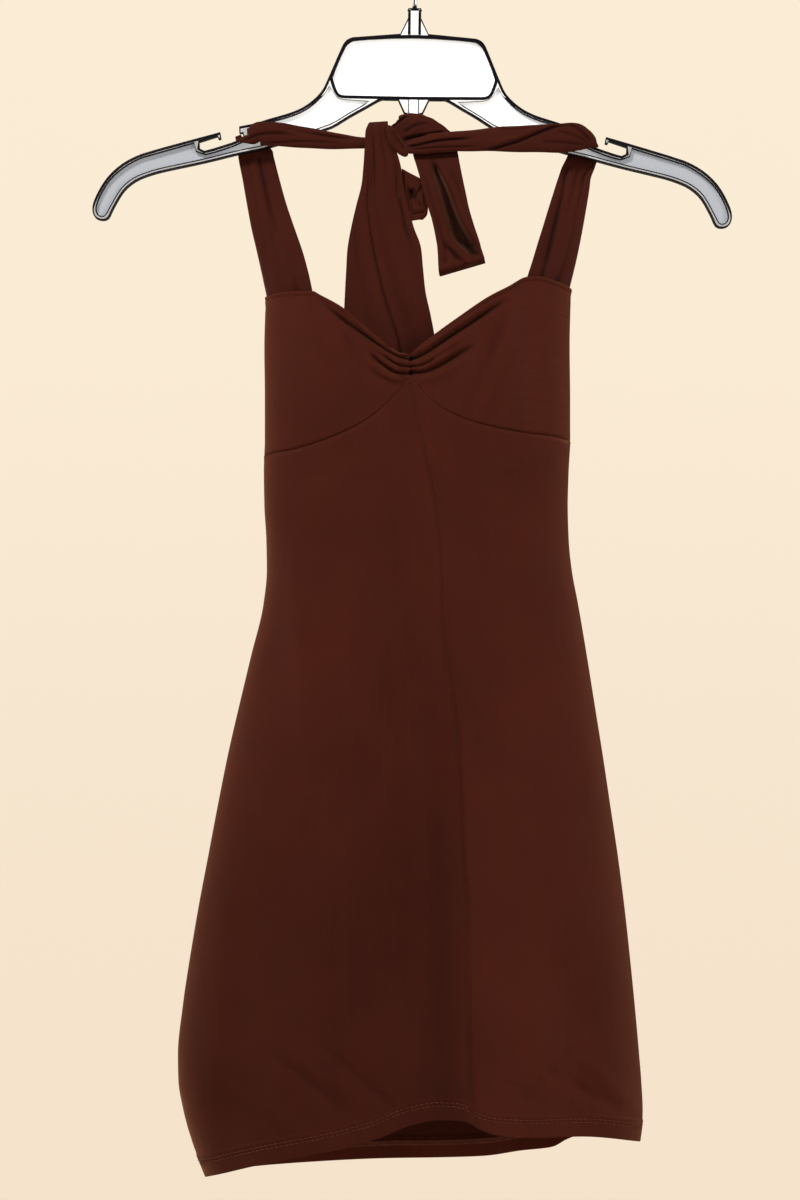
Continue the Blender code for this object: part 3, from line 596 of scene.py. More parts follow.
def cloth_material(name, deep, light, lit, lift, sheen):
    """Fine matte stretch jersey; lit is a painted light colour for the sides of the tube, and a near-black mix is
    painted shade in creases and hollows.
    """
    made, tree, shade = new_material(name)
    where = tree.nodes.new("ShaderNodeUVMap")
    where.uv_map = "cloth"
    cloth = where.outputs[0]
    knit = use(tree, KNIT, Cloth=cloth, Wale=0.00085, Course=0.00075)
    streaks = use(tree, STREAKS, Cloth=cloth, Cloud=11.0, Streak=260.0)
    share = math_node(tree, "MULTIPLY", streaks["Streak"], 0.26)
    share = math_node(tree, "MULTIPLY_ADD", streaks["Cloud"], 0.36, share)
    # painted shade between the stitches
    share = math_node(tree, "MULTIPLY_ADD", knit["Shade"], 0.38, share)
    # vertex colour: first part is painted light on the sides of the tube, second part is painted shade in creases
    # and hollows
    painted_light_shade = tree.nodes.new("ShaderNodeAttribute")
    painted_light_shade.attribute_name = "painted_light_shade"
    shape = parts_of(tree, painted_light_shade.outputs["Vector"])
    plain = blend_colour(tree, share, deep, light)
    plain = blend_colour(tree, shape[0], plain, lit)
    # painted shade: the colour mixed toward near black
    hollow = math_node(tree, "MULTIPLY", shape[1], 0.85)
    tree.links.new(blend_colour(tree, hollow, plain, (0.006, 0.0011, 0.0006, 1)), shade.inputs["Base Color"])
    tree.links.new(ramp(tree, streaks["Streak"], 0.0, 1.0, 0.74, 0.88), shade.inputs["Roughness"])
    shade.inputs["Specular IOR Level"].default_value = 0.07
    shade.inputs["Sheen Weight"].default_value = sheen
    shade.inputs["Sheen Roughness"].default_value = 0.38
    shade.inputs["Sheen Tint"].default_value = (1.0, 0.42, 0.22, 1.0)
    stitches = bump_node(tree, knit["Height"], lift, 0.18 * MM)
    fuzz = bump_node(tree, noise_node(tree, cloth, 150.0, 4.0, 0.6), 0.22, 0.7 * MM, stitches)
    tree.links.new(fuzz, shade.inputs["Normal"])
    return made


# each cloth: deep and light ends of the dye, painted light colour for the sides, stitch bump strength, sheen
JERSEY = cloth_material("jersey_cloth", (0.0345, 0.0054, 0.0025, 1), (0.0600, 0.0108, 0.0055, 1),
                        (0.095, 0.0215, 0.0105, 1), 0.5, 0.20)
# the same jersey made darker for straps, ties and knot: painted shade
SHADED_TIE_JERSEY = cloth_material("tie_cloth_painted_shade", (0.030, 0.0048, 0.0023, 1), (0.053, 0.0098, 0.0052, 1),
                            (0.080, 0.0175, 0.0090, 1), 0.5, 0.16)
INNER_JERSEY = cloth_material("hem_inside_cloth", (0.048, 0.0082, 0.0040, 1), (0.082, 0.0155, 0.0078, 1),
                              (0.090, 0.0190, 0.0100, 1), 0.6, 0.05)


def thread_material(name, deep, light):
    """Twisted sewing thread."""
    made, tree, shade = new_material(name)
    where = tree.nodes.new("ShaderNodeTexCoord").outputs["Object"]
    split = parts_of(tree, where)
    slant = math_node(tree, "ADD", split[0], math_node(tree, "MULTIPLY", split[2], 0.8))
    twist = math_node(tree, "SINE", math_node(tree, "MULTIPLY", slant, 9000.0))
    patch = noise_node(tree, where, 240.0, 2.0, 0.5)
    # colour: painted shade along the twist, and random tone from the noise
    share = math_node(tree, "MULTIPLY_ADD", twist, 0.22, patch)
    tree.links.new(blend_colour(tree, share, deep, light), shade.inputs["Base Color"])
    tree.links.new(ramp(tree, patch, 0.2, 0.8, 0.45, 0.7), shade.inputs["Roughness"])
    shade.inputs["Specular IOR Level"].default_value = 0.08
    tree.links.new(bump_node(tree, twist, 0.5, 0.08 * MM), shade.inputs["Normal"])
    return made


THREAD = thread_material("sewing_thread", (0.046, 0.0100, 0.0052, 1), (0.150, 0.046, 0.028, 1))
LOOPER = thread_material("looper_thread", (0.110, 0.030, 0.018, 1), (0.230, 0.078, 0.049, 1))


def plastic_material(name, pale, grey, rough, clear, near, far, coat=0.35, painted_glow=0.0):
    """Clear moulded plastic, milky by the plate and greyer along the arms; glow is painted light, an emission in
    its own colour.
    """
    made, tree, shade = new_material(name)
    where = tree.nodes.new("ShaderNodeTexCoord").outputs["Object"]
    split = parts_of(tree, where)
    flow = noise_node(tree, where, 26.0, 4.0, 0.55)
    away = math_node(tree, "ABSOLUTE", math_node(tree, "ADD", split[0], 0.002))
    away = math_node(tree, "ADD", away, math_node(tree, "MULTIPLY", flow, 0.03))
    wear = use(tree, WEAR, Place=where, Scale=70.0)
    share = ramp(tree, away, near, far)
    share = math_node(tree, "MULTIPLY_ADD", wear["Haze"], 0.03, share)
    body = blend_colour(tree, share, pale, grey)
    tree.links.new(body, shade.inputs["Base Color"])
    tree.links.new(body, shade.inputs["Emission Color"])
    worn = math_node(tree, "MULTIPLY", wear["Haze"], 0.10)
    worn = math_node(tree, "MULTIPLY_ADD", wear["Scratch"], 0.25, worn)
    tree.links.new(math_node(tree, "ADD", worn, rough), shade.inputs["Roughness"])
    shade.inputs["IOR"].default_value = 1.49
    shade.inputs["Transmission Weight"].default_value = clear
    shade.inputs["Specular IOR Level"].default_value = coat
    shade.inputs["Coat Weight"].default_value = coat
    # painted light: the plastic glows in its own colour, lifting the shade under the rims
    shade.inputs["Emission Strength"].default_value = painted_glow
    shade.inputs["Coat Roughness"].default_value = 0.06
    tree.links.new(bump_node(tree, flow, 0.12, 0.6 * MM), shade.inputs["Normal"])
    return made


# for the web and the rim the last number is the painted light glow
WEB_PLASTIC = plastic_material("plastic_web", (0.97, 0.975, 0.98, 1), (0.325, 0.345, 0.38, 1),
                               0.14, 0.03, 0.090, 0.165, 0.3, 0.42)
RIM_PLASTIC = plastic_material("plastic_rim", (0.84, 0.85, 0.86, 1), (0.36, 0.36, 0.37, 1),
                               0.10, 0.03, 0.075, 0.165, 0.3, 0.10)
# near-black finish: painted shade where the clear plastic's edges and walls look dark
EDGE_SHADE_PLASTIC = plastic_material("plastic_edge_painted_shade", (0.006, 0.005, 0.008, 1), (0.009, 0.008, 0.010, 1),
                                0.30, 0.0, 0.1, 0.2, 0.04)


def metal_material():
    """Bright plated wire with faint drawing lines."""
    made, tree, shade = new_material("plated_wire")
    where = tree.nodes.new("ShaderNodeTexCoord").outputs["Object"]
    wear = use(tree, WEAR, Place=where, Scale=180.0)
    bright = blend_colour(tree, wear["Haze"], (0.52, 0.53, 0.55, 1), (0.70, 0.70, 0.71, 1))
    tree.links.new(bright, shade.inputs["Base Color"])
    shade.inputs["Metallic"].default_value = 1.0
    worn = math_node(tree, "MULTIPLY_ADD", wear["Scratch"], 0.18, 0.16)
    tree.links.new(worn, shade.inputs["Roughness"])
    tree.links.new(bump_node(tree, wear["Haze"], 0.15, 0.1 * MM), shade.inputs["Normal"])
    return made


WIRE_METAL = metal_material()


# Making pieces

def make(name, verts, faces, materials, uv=None, marks=None, painted_light_shade=None):
    """One closed body, outward facing; uv gives a cloth place in metres for each vertex."""
    mesh = bpy.data.meshes.new(name)
    mesh.from_pydata([tuple(v) for v in verts], [], faces)
    for item in materials:
        mesh.materials.append(item)
    if marks:
        mesh.polygons.foreach_set("material_index", marks)
    if uv:
        layer = mesh.uv_layers.new(name="cloth")
        for corner in mesh.loops:
            layer.data[corner.index].uv = uv[corner.vertex_index]
    # painted light and painted shade for each point, read by the cloth material
    if painted_light_shade:
        layer = mesh.attributes.new("painted_light_shade", "FLOAT_COLOR", "POINT")
        layer.data.foreach_set("color", [part for lift, deep in painted_light_shade for part in (lift, deep, 0.0, 1.0)])
    work = bmesh.new()
    work.from_mesh(mesh)
    bmesh.ops.recalc_face_normals(work, faces=work.faces)
    if work.calc_volume(signed=True) < 0:
        bmesh.ops.reverse_faces(work, faces=work.faces)
    work.to_mesh(mesh)
    work.free()
    mesh.polygons.foreach_set("use_smooth", [True] * len(mesh.polygons))
    piece = bpy.data.objects.new(name, mesh)
    bpy.context.collection.objects.link(piece)
    return piece


def lengths(points):
    """Length run so far at each point of a path."""
    out = [0.0]
    for a, b in zip(points, points[1:]):
        out.append(out[-1] + (b - a).length)
    return out


def tube_faces(rings, around):
    """Faces of a closed tube whose points run ring by ring."""
    faces = []
    for i in range(rings - 1):
        for j in range(around):
            k = (j + 1) % around
            faces.append((i * around + j, i * around + k, (i + 1) * around + k, (i + 1) * around + j))
    faces.append(tuple(range(around)))
    faces.append(tuple((rings - 1) * around + j for j in range(around - 1, -1, -1)))
    return faces


def hollows(middle, outs, reach=3.2 * MM, full=1.5 * MM):
    """How far each point lies below the cloth round it: 1 in a deep crease, -1 on a sharp ridge."""
    rows, cols = len(middle), len(middle[0])
    out = []
    for i in range(rows):
        line = []
        for j in range(cols):
            here, low = middle[i][j], []
            for di, dj in ((1, 0), (0, 1)):
                pair = []
                for sign in (1, -1):
                    a, b = i + di * sign, j + dj * sign
                    while 0 <= a < rows and 0 <= b < cols and (middle[a][b] - here).length < reach:
                        a, b = a + di * sign, b + dj * sign
                    if 0 <= a < rows and 0 <= b < cols:
                        pair.append(middle[a][b])
                if len(pair) == 2:
                    far = (pair[0] - here).length + (pair[1] - here).length
                    low.append(((pair[0] + pair[1]) / 2 - here).dot(outs[i][j]) * min(1.0, 2.6 * reach / far))
            line.append(max(-1.0, min(1.0, sum(low) / full)) if low else 0.0)
        out.append(line)
    return out


# the gathers reach this far down and to each side, and then fade (m); beyond them the painted crease shade is
# weaker
GATHERS_LOW, GATHERS_WIDE, GATHERS_FADE = 0.285, 0.055, 0.03
# rows of a skirt panel that make its turned hem's inside
HEM_INSIDE_ROWS = 22


def shell(name, middle, outs, halves, materials, rim=None, painted_shares=None, sides=(1,), inner=0.0):
    """Cloth wall round a grid of middle points.

    materials: outside, inside. lifts: shares of painted light and of painted shade for the given sides.
    inner: painted shade on the inside, above the hem.
    """
    rows, cols = len(middle), len(middle[0])
    verts, uv = [], []
    across = lengths(middle[rows // 2])
    low = hollows(middle, outs)
    painted_light_shade = []
    for sign in (1, -1):
        for i in range(rows):
            base = -middle[i][0].z if rim is None else rim(i)
            for j in range(cols):
                lift, deep = painted_shares[i][j] if painted_shares and sign in sides else (0.0, 0.0)
                spot, broad = middle[i][j], 0.0
                if painted_shares and sides == (1,):
                    broad = max(ease((-spot.z - GATHERS_LOW) / GATHERS_FADE),
                                ease((abs(spot.x) - GATHERS_WIDE) / GATHERS_FADE))
                # painted shade on the inside of the panel, above its turned hem
                if sign < 0:
                    deep += inner * ease((rows - HEM_INSIDE_ROWS - i) / 6)
                # painted shade in hollows of the cloth, weaker away from the gathers, plus the given painted
                # shade; lift is painted light
                painted_light_shade.append((lift, min(1.0, max(0.0, low[i][j] * sign) * mix(1.0, 0.22, broad) + deep)))
                verts.append(middle[i][j] + outs[i][j] * halves[i][j] * sign)
                uv.append((across[j], base))
    count = rows * cols
    faces, marks = [], []
    inside = 1 if len(materials) > 1 else 0
    for i in range(rows - 1):
        for j in range(cols - 1):
            a = i * cols + j
            faces.append((a, a + 1, a + cols + 1, a + cols))
            marks.append(0)
            faces.append((count + a, count + a + cols, count + a + cols + 1, count + a + 1))
            marks.append(inside)
    edge = list(range(cols)) + [i * cols + cols - 1 for i in range(1, rows)]
    edge += [(rows - 1) * cols + j for j in range(cols - 2, -1, -1)]
    edge += [i * cols for i in range(rows - 2, 0, -1)]
    for a, b in zip(edge, edge[1:] + edge[:1]):
        faces.append((a, count + a, count + b, b))
        marks.append(0)
    return make(name, verts, faces, materials, uv, marks, painted_light_shade)


def flat_size(middle):
    """Widest, longest and area of a grid of middle points, in metres."""
    rows, cols = len(middle), len(middle[0])
    wide = max(sum((r[j + 1] - r[j]).length for j in range(cols - 1)) for r in middle)
    tall = max(sum((middle[i + 1][j] - middle[i][j]).length for i in range(rows - 1)) for j in range(cols))
    area = 0.0
    for i in range(rows - 1):
        for j in range(cols - 1):
            a, b, c, d = middle[i][j], middle[i][j + 1], middle[i + 1][j + 1], middle[i + 1][j]
            area += ((b - a).cross(c - a).length + (c - a).cross(d - a).length) / 2
    return wide, tall, area


# least flat width that a sheet may state
LEAST_WIDE = 0.011
SIZES = []


def place_piece(piece, node):
    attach(piece, "root")
    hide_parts(node)
    return piece


def trim(piece):
    """Small added piece that stands for no solid."""
    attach(piece, "root")
    return piece


def declare(piece, size, fuller=1.0):
    """States the cut of what shows; fuller is the cloth that gathers take up."""
    wide, tall, area = size
    wide, tall, area = max(round(wide * fuller, 3), LEAST_WIDE), round(tall, 3), area * fuller
    area = min(area, wide * tall * 0.999)
    SIZES.append((piece.name, wide, tall, area))


# Dress panels

def tuck(away, size, wide):
    """How far cloth turns in beside a seam; away is in mm."""
    return size * bell(away, wide)


def painted_side_light_and_seam_shade(turn, down):
    """Painted light where the tube turns to its sides, standing in for sheen, and painted shade left of the front
    seam and low on the right.
    """
    share = abs(math.sin(math.tau * turn))
    lift = 0.06 * ease((share - 0.15) / 0.5) + 0.32 * ease((share - 0.88) / 0.12)
    deep = 0.0
    if math.cos(math.tau * turn) > 0 and down > 500:
        away = curve(CENTRE_SEAM, down) - across_of(turn, down)
        deep = 0.28 * ease((down - 660) / 330) * ease((away + 2) / 30)
        deep += 0.12 * ease((down - 860) / 160) * ease((-away - 70) / 60)
        if away > -2:
            deep += 0.20 * bell(away - 6, 34) * ease((down - 570) / 200) * ease((away + 2) / 3)
    return lift, deep


def panel_grid(place, rows, cols, half, shape):
    """Middle points, outward ways, half thicknesses and shares of painted light and painted shade of a panel."""
    middle, outs, halves, painted_shares = [], [], [], []
    for i in range(rows + 1):
        line, ways, thick, lift = [], [], [], []
        for j in range(cols + 1):
            turn, down = place(j / cols, i)
            out = outward(turn, down)
            line.append(wall(turn, down) + out * shape(turn, down, j / cols, i) * MM)
            ways.append(out)
            thick.append(half(turn, down, i))
            lift.append(painted_side_light_and_seam_shade(turn, down))
        middle.append(line)
        outs.append(ways)
        halves.append(thick)
        painted_shares.append(lift)
    return middle, outs, halves, painted_shares


def side_turn(sign):
    def at(down):
        return sign * (0.25 - turn_gap(sign * 0.25, down, 0.5 * SEAM))
    return at


def centre_side(sign):
    def at(down):
        turn = centre_turn(down)
        return turn + sign * turn_gap(turn, down, 0.5 * SEAM)
    return at


left_side, right_side = side_turn(-1), side_turn(1)
centre_left, centre_right = centre_side(-1), centre_side(1)
CUP_ROWS, CUP_COLS = 84, 76


def cup(name, node, first, last, centre_at):
    tops, feet = {}, {}

    def place(u, i):
        v = i / CUP_ROWS
        turn = mix(first(v), last(v), u)
        top = settle(NECK_FRONT, turn, 320)
        foot = settle(BUST_FRONT, turn, 430)
        foot -= seam_step(BUST_FRONT, turn, foot)
        tall = foot - top
        near = min(tall, 42.0)
        down = top + near * v + (tall - near) * v ** 3
        tops[(u, i)], feet[(u, i)] = (down - top) * UNIT_MM, (foot - down) * UNIT_MM
        return turn, down

    def shape(turn, down, u, i):
        across = across_of(turn, down)
        from_centre = abs(u - centre_at) * 100
        side = (1 - u if centre_at == 0 else u) * 110
        out = -tuck(feet[(u, i)], 0.26, 0.7) + tuck(feet[(u, i)] - 1.7, 0.10, 0.9) - tuck(side, 0.3, 2.0)
        out -= tuck(from_centre, 0.8, 1.4)
        edge = tops[(u, i)]
        out += 0.5 * bell(edge - 1.2, 1.3) - 0.32 * bell(edge - 3.2, 0.6)
        pucker = math.sin(across * 0.72 + math.sin(across * 0.21) * 1.4)
        return out + 0.16 * pucker * math.exp(-(feet[(u, i)] / 3.4) ** 2)

    def half(turn, down, i):
        return (CLOTH + 0.5 * MM * bell(i, 7.0)) / 2

    middle, outs, halves, painted_shares = panel_grid(place, CUP_ROWS, CUP_COLS, half, shape)
    piece = shell(name, middle, outs, halves, [JERSEY, INNER_JERSEY], None, painted_shares)
    place_piece(piece, node)
    declare(piece, flat_size(middle), 1.12)
    return piece


def cup_mid(v):
    """Reading down the seam between the cups."""
    return mix(354, 378, v)


def cup_out(v):
    """Reading down a side seam beside the cups."""
    return mix(300, 450, v)


cup("left_cup", "cup_left", lambda v: left_side(cup_out(v)), lambda v: centre_left(cup_mid(v)), 1)
cup("right_cup", "cup_right", lambda v: centre_right(cup_mid(v)), lambda v: right_side(cup_out(v)), 0)


def back_band():
    rows, cols = 34, 110
    near = {}

    def place(u, i):
        v = i / rows
        first = 0.25 + turn_gap(0.25, cup_out(v), 0.5 * SEAM)
        last = 0.75 - turn_gap(0.75, cup_out(v), 0.5 * SEAM)
        turn = mix(first, last, u)
        top = settle(NECK_BACK, turn, 360)
        foot = settle(BUST_BACK, turn, 455)
        foot -= seam_step(BUST_BACK, turn, foot)
        down = mix(top, foot, v)
        near[(u, i)] = ((down - top) * UNIT_MM, (foot - down) * UNIT_MM)
        return turn, down

    def shape(turn, down, u, i):
        edge, foot = near[(u, i)]
        out = -tuck(foot, 0.55, 1.8) - tuck(min(u, 1 - u) * 215, 0.3, 2.0)
        return out + 0.3 * bell(edge - 2.0, 1.6) - 0.3 * bell(edge - 6.5, 1.0)

    def half(turn, down, i):
        return (CLOTH + 0.5 * MM * bell(i, 3.0)) / 2

    middle, outs, halves, painted_shares = panel_grid(place, rows, cols, half, shape)
    piece = shell("back_bodice", middle, outs, halves, [JERSEY, INNER_JERSEY], None, painted_shares)
    place_piece(piece, "bodice_back")
    declare(piece, flat_size(middle))
    return piece


back_band()

SKIRT_ROWS, HEM_ROWS = 124, 34


def skirt_down(top, foot, i):
    """Even rows down the skirt, then close rows over the turned hem."""
    if i <= SKIRT_ROWS:
        return mix(top, foot - HEM_TALL - 3.0, i / SKIRT_ROWS)
    return mix(foot - HEM_TALL - 3.0, foot, (i - SKIRT_ROWS) / HEM_ROWS)


def skirt(name, node, cols, place_of, centre_at):
    """Skirt panel; centre_at is the end of a row that lies at the front seam, if one does."""
    near = {}
    rows = SKIRT_ROWS + HEM_ROWS

    def place(u, i):
        turn, down, top, foot = place_of(u, i)
        near[(u, i)] = ((down - top) * UNIT_MM, (foot - down) * UNIT_MM)
        return turn, down

    def shape(turn, down, u, i):
        top, foot = near[(u, i)]
        out = tuck(top - 0.2, 0.24, 0.7)
        sides = min(u, 1 - u) if centre_at is None else (u if centre_at == 1 else 1 - u)
        out -= tuck(sides * 170, 0.35, 2.2)
        if centre_at is not None:
            away = abs(u - centre_at) * 160
            low = ease((down - 520) / 200)
            out -= tuck(away, mix(0.03, 0.30, low), 0.9)
            ripple = math.sin(down * 0.46 + 1.7 * math.sin(down * 0.093))
            ripple *= 0.45 + 0.55 * noise.noise(Vector((0, 3, down * 0.02)))
            out += mix(0.2, 0.5, low) * ripple * bell(away, 4.6) * ease(top / 20)
        row = sum(bell(foot - above, 0.7) for above in STITCH_ROWS)
        across = across_of(turn, down)
        out -= 0.34 * row
        crinkle = math.sin(across * 0.95 + 2 * math.sin(across * 0.13))
        out += 0.13 * crinkle * bell(foot - 11.5, 6.0)
        out += 0.22 * noise.noise(Vector((across * 0.05, 7, 0))) * bell(foot - 3.0, 6.0)
        return out

    def half(turn, down, i):
        rounded_off = 1.0 if i < rows else 0.72
        return mix(CLOTH, HEM_CLOTH, ease((i - SKIRT_ROWS - 2) / 4)) / 2 * rounded_off

    middle, outs, halves, painted_shares = panel_grid(place, rows, cols, half, shape)
    # inner=0.5 paints shade on the inside of the panel above its hem
    piece = shell(name, middle, outs, halves, [JERSEY, INNER_JERSEY], None, painted_shares, inner=0.5)
    place_piece(piece, node)
    return piece, (middle, outs, halves)


def front_place(first, last):
    def place(u, i):
        turn = 0.0
        down = mix(430, 1140, i / (SKIRT_ROWS + HEM_ROWS))
        for _ in range(3):
            turn = mix(first(down), last(down), u)
            top = settle(BUST_FRONT, turn, 430)
            top += seam_step(BUST_FRONT, turn, top)
            foot = settle(HEM_FRONT, turn, 1140)
            down = skirt_down(top, foot, i)
        return turn, down, top, foot
    return place


def back_place(u, i):
    guess = mix(430, 1140, i / (SKIRT_ROWS + HEM_ROWS))
    turn = mix(0.25 + turn_gap(0.25, guess, 0.5 * SEAM), 0.75 - turn_gap(0.75, guess, 0.5 * SEAM), u)
    top = settle(BUST_BACK, turn, 455)
    top += seam_step(BUST_BACK, turn, top)
    foot = settle(HEM_BACK, turn, 1150)
    return turn, skirt_down(top, foot, i), top, foot


front_left, front_left_grid = skirt("skirt_front_panel_left", "skirt_front_left", 66,
                                    front_place(left_side, centre_left), 1)
front_right, front_right_grid = skirt("skirt_front_panel_right", "skirt_front_right", 52,
                                      front_place(centre_right, right_side), 0)
back, back_grid = skirt("skirt_back_panel", "skirt_back", 112, back_place, None)


# Stitches

def stitch_run(name, path, outs, long, gap, radius, lift, thread):
    """Short thread stitches laid end to end along a path on the cloth."""
    verts, faces = [], []
    total = lengths(path)

    def at(s):
        i = min(max(bisect_right(total, s) - 1, 0), len(path) - 2)
        k = (s - total[i]) / max(total[i + 1] - total[i], 1e-9)
        return path[i].lerp(path[i + 1], k), outs[i].lerp(outs[i + 1], k)

    s = gap
    around, steps = 6, 4
    while s + long < total[-1]:
        rings = []
        for step in range(steps + 1):
            k = step / steps
            point, out = at(s + long * k)
            ahead, _ = at(min(s + long * k + 0.0002, total[-1]))
            run = (ahead - point).normalized() if (ahead - point).length > 1e-9 else Vector((1, 0, 0))
            side = run.cross(out).normalized()
            arch = math.sin(math.pi * k)
            size = radius * (0.55 + 0.45 * arch)
            centre = point + out * (lift * (0.15 + 0.85 * arch))
            ring = []
            for q in range(around):
                angle = math.tau * q / around
                verts.append(centre + side * math.cos(angle) * size + out * math.sin(angle) * size)
                ring.append(len(verts) - 1)
            rings.append(ring)
        for a, b in zip(rings, rings[1:]):
            for q in range(around):
                faces.append((a[q], a[(q + 1) % around], b[(q + 1) % around], b[q]))
        faces.append(tuple(rings[0]))
        faces.append(tuple(reversed(rings[-1])))
        s += long + gap
    return trim(make(name, verts, faces, [thread]))


def hem_path(grid, above, side):
    """Path on a panel's own surface a set height above its hem: outside (1) or inside (-1)."""
    middle, outs, halves = grid
    path, ways = [], []
    rows, cols = len(middle), len(middle[0])
    for j in range(cols):
        run, i = 0.0, rows - 1
        while i > 1:
            step = (middle[i][j] - middle[i - 1][j]).length
            if run + step >= above * MM:
                break
            run += step
            i -= 1
        k = (above * MM - run) / step
        out = outs[i][j].lerp(outs[i - 1][j], k)
        half = mix(halves[i][j], halves[i - 1][j], k)
        path.append(middle[i][j].lerp(middle[i - 1][j], k) + out * side * half)
        ways.append(out * side)
    return path, ways


def zigzag(name, grid, low, high, pitch, radius):
    """Looper thread that crosses between two stitch rows on the inside of a hem."""
    lower, outs = hem_path(grid, low, -1)
    upper, _ = hem_path(grid, high, -1)
    long = lengths(lower)
    points, ways = [], []
    s, flip = 0.0, 0
    while s < long[-1]:
        i = min(bisect_right(long, s) - 1, len(lower) - 2)
        k = (s - long[i]) / (long[i + 1] - long[i])
        a, b = lower[i].lerp(lower[i + 1], k), upper[i].lerp(upper[i + 1], k)
        share = (0.0, 0.5, 1.0, 0.5)[flip % 4]
        points.append(a.lerp(b, share))
        ways.append(outs[i])
        s += pitch / 4 * (0.6 if share in (0.0, 1.0) else 1.4)
        flip += 1
    verts, around = [], 5
    for i, (point, out) in enumerate(zip(points, ways)):
        run = (points[min(i + 1, len(points) - 1)] - points[max(i - 1, 0)]).normalized()
        side = run.cross(out).normalized()
        for q in range(around):
            angle = math.tau * q / around
            verts.append(point + out * 0.3 * MM + side * math.cos(angle) * radius
                         + out * math.sin(angle) * radius)
    return trim(make(name, verts, tube_faces(len(points), around), [LOOPER]))


for label, panel, grid, resting in (("front_left", front_left, front_left_grid, "left_cup"),
                                    ("front_right", front_right, front_right_grid, "right_cup"),
                                    ("back", back, back_grid, "back_bodice")):
    for number, above in enumerate(STITCH_ROWS):
        stitch_run(f"hem_stitch_{label}_{number}", *hem_path(grid, above, 1),
                               2.6 * MM, 0.9 * MM, 0.30 * MM, 0.24 * MM, THREAD)
        stitch_run(f"hem_chain_{label}_{number}", *hem_path(grid, above, -1),
                               2.2 * MM, 0.4 * MM, 0.36 * MM, 0.34 * MM, LOOPER)
    zigzag(f"hem_looper_{label}", grid, 8.8, 12.8, 1.9 * MM, 0.28 * MM)
    declare(panel, flat_size(grid[0]))


# Straps, ties and knot

def spline(rows, at):
    """Row of numbers at a place between listed rows, on a smooth curve through them."""
    at = min(max(at, 0.0), len(rows) - 1.0)
    i = min(int(at), len(rows) - 2)
    k = at - i
    a, b, c, d = rows[max(i - 1, 0)], rows[i], rows[i + 1], rows[min(i + 2, len(rows) - 1)]
    return [bent(p, q, r, s, k) for p, q, r, s in zip(a, b, c, d)]


def ribbon_piece(name, node, grid, thick, painted_shares=None):
    """Doubled strip with rounded edges about a grid of middle points."""
    rows, cols = len(grid), len(grid[0])
    outs, halves = [], []
    for i in range(rows):
        ways, half = [], []
        for j in range(cols):
            along = grid[min(i + 1, rows - 1)][j] - grid[max(i - 1, 0)][j]
            wide = grid[i][min(j + 1, cols - 1)] - grid[i][max(j - 1, 0)]
            out = along.cross(wide)
            out.normalize()
            ways.append(out)
            edge = min(j, cols - 1 - j) / 2.0
            half.append(thick[i] / 2 * (0.62 + 0.38 * ease(edge)))
        outs.append(ways)
        halves.append(half)
    run = lengths([line[cols // 2] for line in grid])
    piece = shell(name, grid, outs, halves, [SHADED_TIE_JERSEY], rim=lambda i: run[i], painted_shares=painted_shares, sides=(1, -1))
    place_piece(piece, node)
    declare(piece, flat_size(grid))
    return piece


STRAP_LEFT = [
    (5.0, 268.3, 313.4, 0.0), (-1.0, 267.0, 312.2, 0.02), (272, 262.0, 308.2, 0.16),
    (250, 257.0, 302.2, 0.34),
    (228, 251.8, 294.4, 0.52), (204, 247.2, 286.2, 0.70), (180, 242.8, 279.6, 0.86),
    (164, 239.4, 275.6, 1.0),
    (156, 238.2, 273.6, 1.0), (150, 237.8, 272.0, 1.0)]
NOTCH_LEFT = [
    (237.4, 146.4, 264.0, 144.6, 5.3, 1.8), (236.4, 142.8, 250.0, 140.4, 5.3, 2.0),
    (235.8, 139.8, 242.8, 137.4, 5.5, 2.2), (235.6, 139.3, 241.4, 137.1, 4.2, 2.4),
    (235.6, 139.3, 241.6, 137.0, 1.6, 2.5), (235.6, 138.9, 241.6, 136.6, -1.6, 2.5),
    (235.6, 138.3, 241.6, 136.0, -4.8, 2.3)]
STRAP_RIGHT = [
    (5.0, 526.0, 568.4, 0.0), (-1.0, 527.6, 569.4, 0.02), (262, 532.2, 575.4, 0.16),
    (238, 539.4, 580.4, 0.36), (214, 546.8, 584.8, 0.56),
    (190, 554.4, 588.9, 0.76), (178, 558.2, 590.6, 0.90), (168, 561.6, 594.6, 1.0),
    (160, 565.6, 597.2, 1.0)]
NOTCH_RIGHT = [
    (569.6, 152.6, 597.2, 154.2, 5.3, 1.8), (578.0, 146.6, 596.6, 151.2, 5.3, 2.0),
    (584.6, 141.9, 595.2, 147.0, 5.5, 2.2), (585.4, 141.4, 594.6, 145.8, 4.2, 2.4),
    (585.2, 141.4, 594.6, 145.4, 1.6, 2.5), (585.2, 140.9, 594.6, 144.9, -1.6, 2.5),
    (585.2, 140.3, 594.6, 144.3, -4.8, 2.3)]


